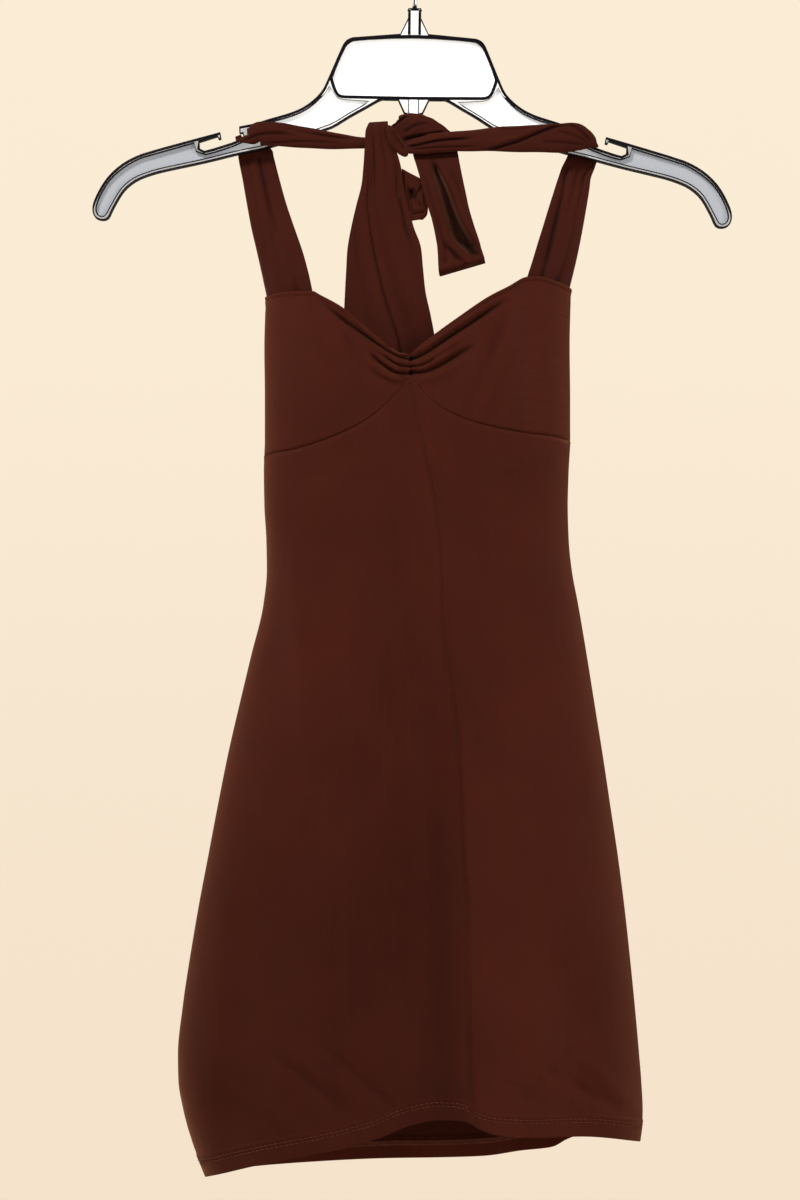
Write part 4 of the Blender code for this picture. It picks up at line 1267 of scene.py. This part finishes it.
def strap(name, node, rows, notch, fold_lines):
    """Strap from a cup up behind the arm and forward through its notch."""
    behind = RIM_HALF + CLEAR + RIBBON / 2
    lowest = rows[0]
    cols, fine = 28, 5
    keys = []
    for down, left, right, back in rows:
        line = []
        for j in range(cols + 1):
            k = j / cols
            across = mix(left, right, k)
            foot = mix(lowest[1], lowest[2], k)
            neck = curve(NECK_FRONT, foot)
            start = wall(turn_of(foot, neck), neck).y + 2.4 * MM
            level = neck + down if down < 10 else down
            slack = 1.2 * MM * math.sin(k * math.pi * 3 + level * 0.02)
            slack *= ease((1 - back) * 2) * ease(back * 3)
            line += [across, level, mix(start, behind, ease(back)) + slack]
        keys.append(line + [RIBBON])
    for left, left_down, right, right_down, depth, heavy in notch:
        line = []
        for j in range(cols + 1):
            k = j / cols
            line += [mix(left, right, k), mix(left_down, right_down, k), depth * MM]
        keys.append(line + [heavy * MM])
    grid, thick = [], []
    for step in range((len(keys) - 1) * fine + 1):
        at = step / fine
        row = spline(keys, at)
        line = []
        for j in range(cols + 1):
            k = j / cols
            across, down, depth = row[3 * j:3 * j + 3]
            if at > len(rows) - 1:
                before, after = keys[math.floor(at)], keys[min(math.ceil(at), len(keys) - 1)]
                depth = before[3 * j + 2] * (1 - at % 1) + after[3 * j + 2] * (at % 1)
            held = ease(at / 0.8) * ease((len(rows) - 1.3 - at) / 1.5)
            for where, slope, wide, tall in fold_lines:
                depth -= tall * MM * held * math.exp(-((k - where - slope * (at - 3)) / wide) ** 2)
            line.append(seen(across, down, depth))
        grid.append(line)
        thick.append(row[-1])
    return ribbon_piece(name, node, grid, thick)


strap("left_strap", "strap_left", STRAP_LEFT, NOTCH_LEFT,
      [(0.30, 0.03, 0.10, 0.9), (0.62, -0.02, 0.08, -0.8), (0.86, 0.0, 0.06, 0.6)])
strap("right_strap", "strap_right", STRAP_RIGHT, NOTCH_RIGHT,
      [(0.28, -0.03, 0.07, -1.0), (0.46, -0.03, 0.08, 1.0), (0.74, 0.02, 0.06, -0.9), (0.88, 0.01, 0.05, 0.9)])


def roll_piece(name, node, rows, around, fine, marks):
    """Rolled strip: smooth path through the rows, with lengthwise creases and painted shade in them."""
    keys = [list(r) for r in rows]
    count = (len(keys) - 1) * fine
    smooth = [spline(keys, step / fine) for step in range(count + 1)]
    verts, uv, painted_light_shade = [], [], []
    run = 0.0
    ends = 3
    for i, (across, down, depth, wide, deep) in enumerate(smooth):
        a, b = smooth[max(i - 1, 0)], smooth[min(i + 1, count)]
        way = Vector((b[0] - a[0], 0, -(b[1] - a[1])))
        way.normalize()
        side = Vector((-way.z, 0, way.x))
        middle = seen(across, down, depth * MM)
        run += math.hypot(b[0] - a[0], b[1] - a[1]) * UNIT / 2
        cap = min(1.0, 0.35 + 0.65 * math.sqrt(min(i, count - i) / ends)) if min(i, count - i) < ends else 1.0
        for j in range(around):
            angle = math.tau * j / around
            scale = (1 + back_groove(i / count, angle)) * cap
            place = middle + side * wide * UNIT * math.cos(angle) * scale
            place.y += deep * MM * math.sin(angle) * scale
            front, tall = max(0.0, -math.sin(angle)), 0.0
            if front > 0.02:
                off = wide * math.cos(angle) * scale
                tall = lines(marks, across + side.x * off, down - side.z * off) * min(1.0, front * 1.6)
                place.y -= tall * MM
            # painted shade: the deeper the crease, the darker the colour
            painted_light_shade.append((0.0, min(1.0, max(0.0, -tall / 2.2))))
            verts.append(place)
            uv.append((angle / math.tau * (wide * UNIT + deep * MM) * 3.4, run))
    piece = make(name, verts, tube_faces(count + 1, around), [SHADED_TIE_JERSEY], uv, None, painted_light_shade)
    place_piece(piece, node)
    area = sum(p.area for p in piece.data.polygons) / 2
    declare(piece, (area / run, run, area))
    return piece


def dip(angle, at, wide):
    """Narrow groove round an angle, 0 to 1."""
    off = (angle - at + math.pi) % math.tau - math.pi
    return bell(off, wide)


def back_groove(k, angle):
    """Lengthwise hollow on the hidden side of a rolled strip."""
    return -0.14 * dip(angle, math.pi / 2 + 0.5 * k, 0.3) + 0.015 * math.sin(k * 50 + angle * 3)


LEFT_TIE_LINES = prepare([
    (1.0, -1.5, [(240, 141.5), (247, 140), (255, 136.5), (264, 134.6), (278, 134), (296, 135.6)]),
    (0.9, -1.0, [(258, 144), (280, 143.2), (300, 142), (322, 142.6), (348, 144.6)]),
    (1.0, -0.9, [(272, 127), (294, 130.8), (318, 135), (344, 139), (363, 140.6)]),
    (1.8, 0.6, [(258, 128), (280, 129.8), (306, 134)]),
    (0.8, -0.7, [(310, 133.6), (334, 137.4), (360, 139)]),
], 0.2, 0.3)
RIGHT_TIE_LINES = prepare([
    (1.1, -2.4, [(482, 151), (493, 149), (507, 145), (520, 141), (533, 135.6), (546.7, 130),
                 (557, 126.8), (568, 125.6), (579, 129)]),
    (1.9, 0.9, [(494, 145), (508, 140.6), (522, 135.8), (536, 130), (550, 125.6)]),
    (0.9, -1.5, [(568, 124), (578, 129), (586, 137), (594, 145)]),
    (0.9, -1.0, [(556, 132), (570, 134.4), (582, 140), (592, 145.4)]),
    (1.0, -1.1, [(540, 142.6), (558, 143), (576, 144.6), (592, 146.6)]),
    (0.9, -2.3, [(405, 147.4), (417, 145.6), (429, 143), (442, 140.8), (458, 139.6), (478, 139)]),
    (0.8, -1.0, [(407, 149), (420, 149.2), (440, 148), (462, 147.4), (486, 146.6)]),
    (1.6, 0.6, [(436, 136.6), (455, 134.8), (475, 133.6), (502, 132)]),
    (0.8, -0.7, [(498, 129.6), (520, 129.6), (538, 127)]),
], 0.12, 0.3)
LOBE_LINES = prepare([
    (0.9, -2.2, [(392, 127.6), (398, 123), (404, 118.6), (410, 115.4)]),
    (1.5, 0.8, [(396, 128), (403, 122.8), (411, 119)]),
    (1.1, -2.8, [(402, 141.6), (409, 138.6), (418, 136.6), (428, 135.4), (439, 133.4), (449, 131.6)]),
    (1.2, -1.5, [(403, 134), (412, 128), (422, 124.6), (434, 125.6)]),
    (1.5, 0.6, [(406, 138), (416, 130), (427, 125.6), (437, 127)]),
], 0.12, 0.3)
WRAP_LINES = prepare([
    (0.8, -1.3, [(392.6, 130), (396.6, 137.6), (401.4, 145), (405.4, 151)]),
    (0.7, -0.7, [(390.4, 131), (393.4, 139), (398, 147)]),
], 0.15, 0.2)


roll_piece("left_tie", "tie_left", [
    (236.2, 140.9, -7.6, 0.9, 0.9), (239, 140.3, -7.7, 2.0, 1.4), (243, 139.7, -7.8, 3.2, 2.0),
    (248, 139.2, -8.0, 4.5, 2.7),
    (252.4, 138.6, -8.0, 6.0, 3.1), (254.6, 136.2, -8.0, 9.0, 3.4), (257.4, 134.0, -8.0, 11.3, 3.5),
    (262, 133.5, -8.0, 11.8, 3.6), (270, 133.8, -8.0, 12.0, 3.6), (286, 135.2, -8.0, 11.6, 3.5),
    (304, 137.4, -8.0, 10.6, 3.4), (322, 139.6, -7.8, 9.4, 3.3), (340, 141.4, -7.6, 7.8, 3.1),
    (358, 142.8, -7.6, 5.9, 3.0), (374, 142.6, -7.6, 5.4, 2.9), (388, 141.0, -7.6, 5.2, 2.8),
    (394, 140.4, -7.6, 3.6, 2.2)], 72, 8, LEFT_TIE_LINES)
roll_piece("right_tie", "tie_right", [
    (598.4, 146.9, -7.6, 0.9, 0.9), (595, 145.0, -7.8, 3.4, 2.0), (590.5, 142.0, -8.0, 7.6, 2.9),
    (584, 139.2, -8.1, 11.4, 3.4),
    (575, 137.3, -8.2, 14.2, 3.7), (560, 138.0, -8.3, 14.6, 3.8), (542, 138.6, -8.3, 13.9, 3.8),
    (522, 138.8, -8.4, 13.3, 3.8), (502, 139.1, -8.6, 12.6, 3.8), (484, 139.9, -8.8, 11.2, 3.8),
    (466, 141.0, -9.2, 10.4, 3.8), (452, 141.6, -9.7, 9.9, 3.7), (442, 142.2, -10.0, 9.8, 3.6),
    (432, 143.3, -10.3, 9.7, 3.4), (424, 144.9, -10.5, 8.9, 3.2), (416, 146.2, -10.6, 7.7, 2.9),
    (410, 147.2, -10.7, 6.6, 2.5), (406, 147.5, -10.7, 5.2, 2.0), (403.6, 147.4, -10.7, 2.8, 1.3)],
    84, 8, RIGHT_TIE_LINES)
roll_piece("knot_lobe", "tie_right", [
    (389.6, 129.8, -7.4, 2.4, 1.2), (391.8, 130.2, -7.4, 6.4, 2.2), (394.6, 131.0, -7.4, 10.6, 3.0),
    (398.6, 131.6, -7.4, 14.0, 3.5), (404, 131.0, -7.4, 16.5, 3.8), (410, 130.4, -7.4, 17.0, 3.9),
    (416, 129.9, -7.4, 16.7, 3.9),
    (422, 129.8, -7.4, 15.2, 3.7), (428, 130.0, -7.4, 13.0, 3.4), (434, 131.0, -7.4, 10.4, 3.1),
    (440, 132.5, -7.4, 8.0, 2.7), (446, 134.2, -7.4, 5.4, 2.2), (451, 135.2, -7.4, 2.8, 1.5),
    (453.4, 135.6, -7.4, 1.0, 0.9)], 84, 7, LOBE_LINES)
roll_piece("knot_wrapping", "knot_wrap", [
    (388.0, 125.4, -15.9, 2.0, 1.1), (389.8, 130.0, -16.1, 3.8, 1.8), (393.0, 136.8, -16.3, 5.2, 2.2),
    (397.0, 143.6, -16.3, 5.8, 2.3), (401.4, 149.6, -16.1, 5.2, 2.1), (405.0, 153.6, -15.8, 3.8, 1.7),
    (407.4, 156.0, -15.5, 1.6, 1.0)], 48, 9, WRAP_LINES)


def ribbon(name, node, rows, cols, fine, wave, shade=None):
    """Flat doubled strip between two edges; a row is left, left down, right, right down, depth (mm)."""
    keys = [list(r) for r in rows]
    grid, shades = [], []
    for step in range((len(keys) - 1) * fine + 1):
        at = step / fine
        left, left_down, right, right_down, depth = spline(keys, at)
        line, dark = [], []
        for j in range(cols + 1):
            k = j / cols
            down = mix(left_down, right_down, k)
            across = mix(left, right, k)
            line.append(seen(across, down, (depth + wave(k, down, at, across)) * MM))
            dark.append((0.0, shade(k, down, at) if shade else 0.0))
        grid.append(line)
        shades.append(dark)
    return ribbon_piece(name, node, grid, [RIBBON] * len(grid), shades)


# row of the tail's strip where it comes forward over the tie
TAIL_TURN = 5
# down, share of the strip
TAIL_CREASE = [(158, 0.10), (184, 0.13), (228, 0.28), (264, 0.38), (288, 0.45), (355, 0.605), (436, 0.68)]
# row of the loop's strip where it turns back up behind
LOOP_TURN = 10.6
# down, middle of the hollow and its half width, both as shares of the strip
HOLLOW_LINE = [(150, 0.40, 0.05), (168, 0.416, 0.09), (192.8, 0.49, 0.14), (219.4, 0.53, 0.18), (240, 0.61, 0.23),
               (251, 0.76, 0.15), (264, 0.88, 0.08)]


def tail_wave(k, down, at, across):
    """The left part folds over the right one along a line that slants down the strip."""
    if at < TAIL_TURN:
        return 0.0
    held = ease((down - 150) / 40)
    line = curve(TAIL_CREASE, down)
    off = (k - line)
    out = held * (-1.5 * bell(off + 0.09, 0.10) + 1.7 * bell(off - 0.012, 0.022))
    out += held * (0.9 * bell(off - 0.16, 0.13) - 0.8 * bell(off - 0.42, 0.16))
    rim = 0.90 - 0.04 * held
    out += 0.9 * bell(k - rim, 0.03) * ease((down - 146) / 16) * ease((262 - down) / 40)
    out += 1.3 * math.cos(k * math.pi * 2.2 + 0.4) * held
    out += 0.5 * bell(k - 0.30, 0.04) * ease((down - 126) / 16) * ease((196 - down) / 40)
    return out + 0.3 * math.sin(k * 21 + down * 0.012) * ease((210 - down) / 50)


ribbon("tail", "tail_left", [
    (367, 150, 387, 150, -3.3), (366, 140, 388, 140, -3.2), (366, 131, 388, 130, -3.7),
    (368, 125.4, 388, 124.4, -5.6),
    (369, 123.6, 388, 122.4, -8.2), (367.5, 126.0, 388, 124.6, -11.0), (365.6, 131, 390, 129, -12.7),
    (365, 140, 392.6, 140, -13.2), (364.4, 152, 396.4, 151, -13.4), (363.4, 168, 401, 168, -13.4),
    (361.6, 186, 403.6, 188, -13.2), (356.4, 206, 408.4, 208, -13.0), (351.6, 226, 414, 228, -12.8),
    (347.6, 248, 420.6, 246, -12.4), (346.2, 270, 423, 268, -12.0), (345, 292, 425.6, 292, -11.4),
    (344, 314, 430.4, 314, -10.8), (343.6, 338, 434.8, 338, -10.2), (343.2, 366, 438, 366, -9.8),
    (343, 400, 440, 402, -9.4), (343, 430, 441, 436, -9.0)], 56, 6, tail_wave)


def loop_wave(k, down, at, across):
    """The front ply opens into a hollow that slants down to the lower right."""
    if at > LOOP_TURN:
        return 0.0
    held = ease((down - 158) / 22) * ease((LOOP_TURN - at) / 0.9)
    centre, wide = curve(HOLLOW_LINE, down), curve(HOLLOW_LINE, down, 2)
    off = k - centre
    shut = ease((266 - down - 8 * k) / 14)
    out = held * shut * 8.4 * math.exp(-(off / wide) ** 4)
    out += held * shut * 0.9 * (bell(off + 0.03, 0.02) - bell(off - 0.03, 0.02))
    out -= held * 2.4 * bell(off + wide + 0.10, 0.10)
    out -= held * 1.6 * bell(off - wide - 0.10, 0.09)
    out -= 1.2 * math.exp(-((down - mix(270, 258, k)) / 5.0) ** 2) * held
    out += 0.8 * bell(k - 0.16, 0.03) * ease((down - 232) / 20) * held
    return out


def loop_shade(k, down, at):
    """Shade down in the hollow of the loop."""
    if at > LOOP_TURN:
        return 0.0
    centre, wide = curve(HOLLOW_LINE, down), curve(HOLLOW_LINE, down, 2)
    held = ease((down - 152) / 20) * ease((266 - down - 6 * k) / 12)
    return 0.8 * held * math.exp(-((k - centre) / wide) ** 4)


ribbon("bow_loop", "loop_right", [
    (413, 146, 457, 146, -2.9), (413, 154, 458, 154, -4.0), (416, 164, 460, 165, -8.0),
    (420, 178, 463, 180, -10.4),
    (424, 193, 466, 194, -12.2), (428, 207, 469, 208, -13.4), (432.6, 222, 472.4, 220, -13.8),
    (436, 236, 476, 232, -13.8), (437.6, 252, 480, 244, -13.8), (438.2, 265, 483, 254, -13.6),
    (438.8, 272, 484.6, 259, -12.6), (439.4, 275.4, 485.2, 262, -10.0),
    (439.2, 274.0, 484.8, 260.6, -5.6),
    (438.6, 267, 483.4, 255, -3.4), (437.6, 250, 479, 243, -2.2), (434.6, 232, 474.4, 228, -1.6),
    (430, 212, 469, 212, -1.0), (424.6, 190, 464.6, 192, -0.6), (419, 168, 460, 170, 0.0),
    (415, 146, 457, 146, 0.4)],
    72, 6, loop_wave, loop_shade)


SLING_LINES = prepare([
    (2.0, -5.2, [(410.6, 188), (412.4, 193), (412.6, 198), (411.4, 202)]),
    (1.3, -2.8, [(408, 184), (408.8, 196), (410.4, 207), (413.6, 217)]),
    (1.0, -1.7, [(424.4, 184.4), (419.4, 189.6), (416.8, 196), (418, 204), (423, 210)]),
    (1.2, 1.4, [(427, 190), (422, 194.6), (420.8, 200), (423.6, 207)]),
    (0.8, -1.9, [(411, 215.4), (417, 213.8), (426, 212)]),
    (1.4, 1.0, [(410, 210), (416, 208.6), (424, 209)]),
], 0.2, 0.3)


def sling_wave(k, down, at, across):
    """A curled end: a dark eye with soft folds round it."""
    return -1.6 * math.sin(k * math.pi) - lines(SLING_LINES, across, down)


ribbon("knot_fold", "knot_sling", [
    (402.0, 168.6, 422.6, 180.2, -7.4), (402.0, 177.0, 424.6, 186.0, -7.6),
    (402.6, 188.0, 426.4, 194.0, -8.2),
    (403.6, 200.0, 427.8, 203.0, -8.8), (406.0, 211.0, 427.6, 211.0, -9.2),
    (408.0, 216.0, 426.4, 215.6, -9.4),
    (411.4, 220.9, 422.6, 219.2, -9.4)], 34, 9, sling_wave)


# Hanger and hook

def mirrored(half):
    return [(x, z) for x, z in half] + [(-x, z) for x, z in reversed(half) if x > 0]


def rounded(points, steps=3):
    """Curve through gently bending points; sharp corners stay."""
    count = len(points)

    def bend(i):
        a, b, c = Vector(points[i - 1]), Vector(points[i]), Vector(points[(i + 1) % count])
        return (b - a).angle(c - b, 0.0)

    out = []
    for i in range(count):
        a, b, c, d = (Vector(points[(i + s) % count]) for s in (-1, 0, 1, 2))
        out.append(tuple(b))
        long = (c - b).length
        if long < 2.0 or long > 45.0 or max(bend(i), bend((i + 1) % count)) > math.radians(56):
            continue
        if (b - a).length > long * 2.6:
            a = b + (a - b).normalized() * long
        if (d - c).length > long * 2.6:
            d = c + (d - c).normalized() * long
        for step in range(1, steps):
            k = step / steps
            out.append(tuple(bent(a, b, c, d, k)))
    return out


def plate_outline():
    """Outline of the plate's recess, with a narrow rim under it."""
    low = min(z for x, z in PLATE_WEB_HALF)
    return mirrored([(x, z - 2.6 if z < low + 2.2 else z) for x, z in PLATE_WEB_HALF])


def hanger_piece():
    outer = rounded(mirrored(HANGER_HALF))
    webs = [rounded(ARM_WEB), rounded([(-x, z) for x, z in ARM_WEB]), rounded(plate_outline())]
    work = bmesh.new()

    def ring(points, depth):
        made = [work.verts.new(Vector((x * MM, depth, z * MM))) for x, z in points]
        edges = [work.edges.new((a, b)) for a, b in zip(made, made[1:] + made[:1])]
        return made, edges

    def skirt_faces(a, b):
        for i in range(len(a)):
            k = (i + 1) % len(a)
            work.faces.new((a[i], a[k], b[k], b[i]))

    sides = []
    for sign in (-1, 1):
        out_verts, out_edges = ring(outer, sign * RIM_HALF)
        edges = list(out_edges)
        for points in webs:
            rim_verts, rim_edges = ring(points, sign * RIM_HALF)
            web_verts, web_edges = ring(points, sign * WEB_HALF)
            edges += rim_edges
            skirt_faces(rim_verts, web_verts)
            bmesh.ops.triangle_fill(work, edges=web_edges, use_beauty=True)
        bmesh.ops.triangle_fill(work, edges=edges, use_beauty=True)
        sides.append(out_verts)
    skirt_faces(sides[0], sides[1])
    bmesh.ops.recalc_face_normals(work, faces=work.faces)
    mesh = bpy.data.meshes.new("hanger_moulding")
    work.to_mesh(mesh)
    work.free()
    rough = bpy.data.objects.new("hanger_rough", mesh)
    bpy.context.collection.objects.link(rough)
    bevel = rough.modifiers.new("soften", "BEVEL")
    bevel.width = 0.55 * MM
    bevel.segments = 3
    bevel.limit_method = "ANGLE"
    bevel.angle_limit = math.radians(50)
    bevel.use_clamp_overlap = True
    ready = bpy.data.meshes.new_from_object(rough.evaluated_get(bpy.context.evaluated_depsgraph_get()))
    bpy.data.objects.remove(rough, do_unlink=True)
    ready.name = "hanger_moulding"
    for item in (WEB_PLASTIC, RIM_PLASTIC, EDGE_SHADE_PLASTIC):
        ready.materials.append(item)
    # side walls get the near-black finish: painted shade
    for face in ready.polygons:
        if abs(face.normal.y) < 0.86:
            face.material_index = 2
        elif abs(face.center.y) < 2.0 * MM:
            face.material_index = 0
        else:
            face.material_index = 1
    ready.transform(Matrix.Rotation(TILT, 4, "Y"))
    ready.polygons.foreach_set("use_smooth", [True] * len(ready.polygons))
    ready.set_sharp_from_angle(angle=math.radians(32))
    piece = bpy.data.objects.new("hanger_moulding", ready)
    bpy.context.collection.objects.link(piece)
    return place_piece(piece, "hanger_body")


hanger_piece()


def swept(name, path, radii, around, material):
    """Round bar along a path in the hanger's plane."""
    turn = Matrix.Rotation(TILT, 3, "Y")
    verts = []
    for i, (point, radius) in enumerate(zip(path, radii)):
        run = path[min(i + 1, len(path) - 1)] - path[max(i - 1, 0)]
        run.normalize()
        side = Vector((run.z, 0, -run.x))
        for j in range(around):
            angle = math.tau * j / around
            verts.append(turn @ (point + (side * math.cos(angle) + Vector((0, math.sin(angle), 0))) * radius))
    return make(name, verts, tube_faces(len(path), around), [material])


def hook_piece():
    middle = HOOK_INNER + WIRE_RADIUS
    first, last = math.radians(-55), math.radians(205)
    start = Vector((0, 0, BOSS_TOP + CLEAR))
    join = Vector((middle * math.cos(first), 0, -HOOK_INNER + middle * math.sin(first)))
    lead = Vector((-math.sin(first), 0, math.cos(first)))
    path = [start]
    a, b, c, d = start + Vector((0, 0, 4 * MM)), start + Vector((0, 0, 12 * MM)), join - lead * 9 * MM, join
    for i in range(18):
        k = i / 18
        path.append(a * (1 - k) ** 3 + b * 3 * k * (1 - k) ** 2 + c * 3 * k * k * (1 - k) + d * k ** 3)
    for i in range(73):
        angle = mix(first, last, i / 72)
        path.append(Vector((middle * math.cos(angle), 0, -HOOK_INNER + middle * math.sin(angle))))
    radii = [WIRE_RADIUS] * len(path)
    for i, share in ((1, 0.45), (2, 0.8), (3, 0.96)):
        radii[-i] = WIRE_RADIUS * share
    return place_piece(swept("hook_wire", path, radii, 20, WIRE_METAL), "hook")


hook_piece()


def bead(name, points, side, size, material, closed=True):
    """Rounded line on both faces of the moulding, beside an outline. side: 1 inside it, -1 outside."""
    line = [Vector((x, z)) for x, z in points]
    count = len(line)
    area = sum(line[i - 1].x * line[i].y - line[i].x * line[i - 1].y for i in range(count))
    hand = (1 if area > 0 else -1) * side
    around = 7
    verts, faces = [], []
    for face in (-1, 1):
        base = len(verts)
        for i in range(count):
            a, b, c = line[i - 1], line[i], line[(i + 1) % count]
            if not closed:
                a, c = line[max(i - 1, 0)], line[min(i + 1, count - 1)]
            run = (c - a).normalized()
            way = Vector((-run.y, run.x)) * (hand if closed else 1)
            half = size(-way.y * side if closed else 0.0, abs(b.x), b.y)
            centre = b + (way * half * 0.9 if closed else Vector((0, 0)))
            for j in range(around):
                angle = math.pi * j / (around - 1)
                spot = centre + way * math.cos(angle) * half
                deep = RIM_HALF + (math.sin(angle) * min(half * 0.32, 0.4) - 0.05) * MM
                verts.append(Vector((spot.x * MM, deep * face, spot.y * MM)))
        for i in range(count if closed else count - 1):
            k = (i + 1) % count
            for j in range(around):
                q = (j + 1) % around
                here, there = base + i * around, base + k * around
                faces.append((here + j, here + q, there + q, there + j))
        if not closed:
            faces.append(tuple(base + j for j in range(around)))
            faces.append(tuple(base + (count - 1) * around + j for j in range(around)))
    turn = Matrix.Rotation(TILT, 3, "Y")
    return trim(make(name, [turn @ v for v in verts], faces, [material]))


def outline_size(up, across, high):
    """Width of the painted shade line along the outline: thick along the top edges, fainter in the arch under the
    plate and thin elsewhere.
    """
    arch = 0.62 * ease((62 - across) / 12) * ease((across - 9) / 6) * ease(-up * 3)
    gusset = 0.45 * ease((12 - across) / 3)
    return max(mix(0.5, 0.95, ease(up * 1.6 + 0.2)) - gusset, arch, 0.45)


def arm_size(up, across, high):
    """Fine painted shade line round an arm's recess, left out where it meets the plate."""
    return 0.04 if across < 60 and high > -124.5 else 0.42


# near-black beads along the outlines: painted shade lines where the clear plastic's edges look dark
bead("outline_painted_shade", rounded(mirrored(HANGER_HALF)), 1, outline_size, EDGE_SHADE_PLASTIC)
bead("arm_painted_shade_right", rounded(ARM_WEB), -1, arm_size, EDGE_SHADE_PLASTIC)
bead("arm_painted_shade_left", rounded([(-x, z) for x, z in ARM_WEB]), -1, arm_size, EDGE_SHADE_PLASTIC)
bead("plate_painted_shade", rounded(plate_outline()), -1, lambda up, across, high: 1.1, EDGE_SHADE_PLASTIC)
# the near-black ribs are painted shade lines down the sides of the boss and the stem
# foot, top, place across, half width (mm) and finish of the upright ribs on the boss and the stem
RIBS = [
    (-77.5, -60.5, -3.5, 0.95, EDGE_SHADE_PLASTIC), (-77.5, -60.5, 3.5, 0.95, EDGE_SHADE_PLASTIC),
    (-77.0, -61.5, 0.0, 1.7, WEB_PLASTIC), (-139.0, -121.4, 0.0, 2.7, WEB_PLASTIC),
    (-139.0, -121.4, -3.3, 0.35, EDGE_SHADE_PLASTIC), (-139.0, -121.4, 3.3, 0.35, EDGE_SHADE_PLASTIC),
]
for number, (foot, top, place, half, look) in enumerate(RIBS):
    line = [(place, mix(foot, top, i / 6)) for i in range(7)]
    bead(f"rib_{number}", line, 1, lambda up, across, high, half=half: half, look, False)


def collar():
    """Flared lip round the top of the boss, where the wire goes in, in the near-black finish: a painted shade
    ring.
    """
    path = [Vector((0, 0, z * MM)) for z in (-61.3, -61.0, -60.6, -60.1, -59.7)]
    radii = [radius * MM for radius in (4.4, 4.7, 4.9, 4.9, 4.5)]
    return trim(swept("boss_collar", path, radii, 40, EDGE_SHADE_PLASTIC))


collar()


# Stage, light and camera

def stage_material():
    made, tree, shade = new_material("pale_floor")
    where = tree.nodes.new("ShaderNodeTexCoord").outputs["Object"]
    soft = noise_node(tree, where, 3.0, 3.0, 0.5)
    pale = blend_colour(tree, soft, (0.80, 0.70, 0.56, 1), (0.86, 0.76, 0.62, 1))
    tree.links.new(pale, shade.inputs["Base Color"])
    shade.inputs["Roughness"].default_value = 0.9
    return made


FLOOR_RADIUS, FLOOR_Z = 2.8, -1.42


def floor():
    mesh = bpy.data.meshes.new("floor")
    around = 96
    turns = [math.tau * i / around for i in range(around)]
    verts = [(math.cos(turn) * FLOOR_RADIUS, math.sin(turn) * FLOOR_RADIUS, FLOOR_Z) for turn in turns]
    mesh.from_pydata(verts, [], [tuple(range(around))])
    mesh.materials.append(stage_material())
    piece = bpy.data.objects.new("floor", mesh)
    bpy.context.collection.objects.link(piece)


floor()


def world():
    made = bpy.data.worlds.new("studio")
    bpy.context.scene.world = made
    made.use_nodes = True
    tree = made.node_tree
    tree.nodes.clear()
    out = tree.nodes.new("ShaderNodeOutputWorld")
    lit = tree.nodes.new("ShaderNodeBackground")
    lit.inputs[0].default_value = (1.0, 0.94, 0.86, 1)
    lit.inputs[1].default_value = 0.20
    shown = tree.nodes.new("ShaderNodeBackground")
    way = tree.nodes.new("ShaderNodeTexCoord").outputs["Generated"]
    high = ramp(tree, parts_of(tree, way)[2], -0.16, 0.16)
    paper = blend_colour(tree, high, (0.915, 0.765, 0.602, 1), (0.966, 0.842, 0.668, 1))
    tree.links.new(paper, shown.inputs[0])
    path = tree.nodes.new("ShaderNodeLightPath")
    pick = tree.nodes.new("ShaderNodeMixShader")
    tree.links.new(path.outputs["Is Camera Ray"], pick.inputs[0])
    tree.links.new(lit.outputs[0], pick.inputs[1])
    tree.links.new(shown.outputs[0], pick.inputs[2])
    tree.links.new(pick.outputs[0], out.inputs[0])


world()


def lamp(name, place, aim, size, power, colour):
    data = bpy.data.lights.new(name, "AREA")
    data.shape = "RECTANGLE"
    data.size, data.size_y = size
    data.energy = power
    data.color = colour
    made = bpy.data.objects.new(name, data)
    made.location = place
    made.rotation_euler = (Vector(aim) - Vector(place)).to_track_quat("-Z", "Y").to_euler()
    bpy.context.collection.objects.link(made)


lamp("key", (-0.95, -1.9, 1.55), (0, 0, -0.38), (0.55, 0.55), 74, (1.0, 0.97, 0.93))
lamp("fill", (1.8, -2.0, 0.00), (0, 0, -0.45), (1.0, 1.4), 28, (1.0, 0.97, 0.94))
lamp("edge_right", (1.9, 0.5, 0.0), (0, 0, -0.50), (0.8, 1.8), 17, (1.0, 0.95, 0.88))
lamp("edge_left", (-1.9, 0.5, 0.0), (0, 0, -0.50), (0.8, 1.8), 19, (1.0, 0.95, 0.88))

camera_data = bpy.data.cameras.new("camera")
camera = bpy.data.objects.new("camera", camera_data)
bpy.context.collection.objects.link(camera)
camera.location = (EYE_X, -EYE_AWAY, EYE_Z)
camera.rotation_euler = (math.radians(90), 0, 0)
camera_data.sensor_width = 36
camera_data.lens = 36 * EYE_AWAY / (2 * EYE_DOWN * UNIT)
camera_data.clip_start = 0.05
bpy.context.scene.camera = camera
bpy.context.scene.view_settings.view_transform = "Standard"

for name, wide, tall, area in SIZES:
    print(f"sheet {name}: {wide * 1000:.0f} x {tall * 1000:.0f} mm, {area * 10000:.1f} cm2")
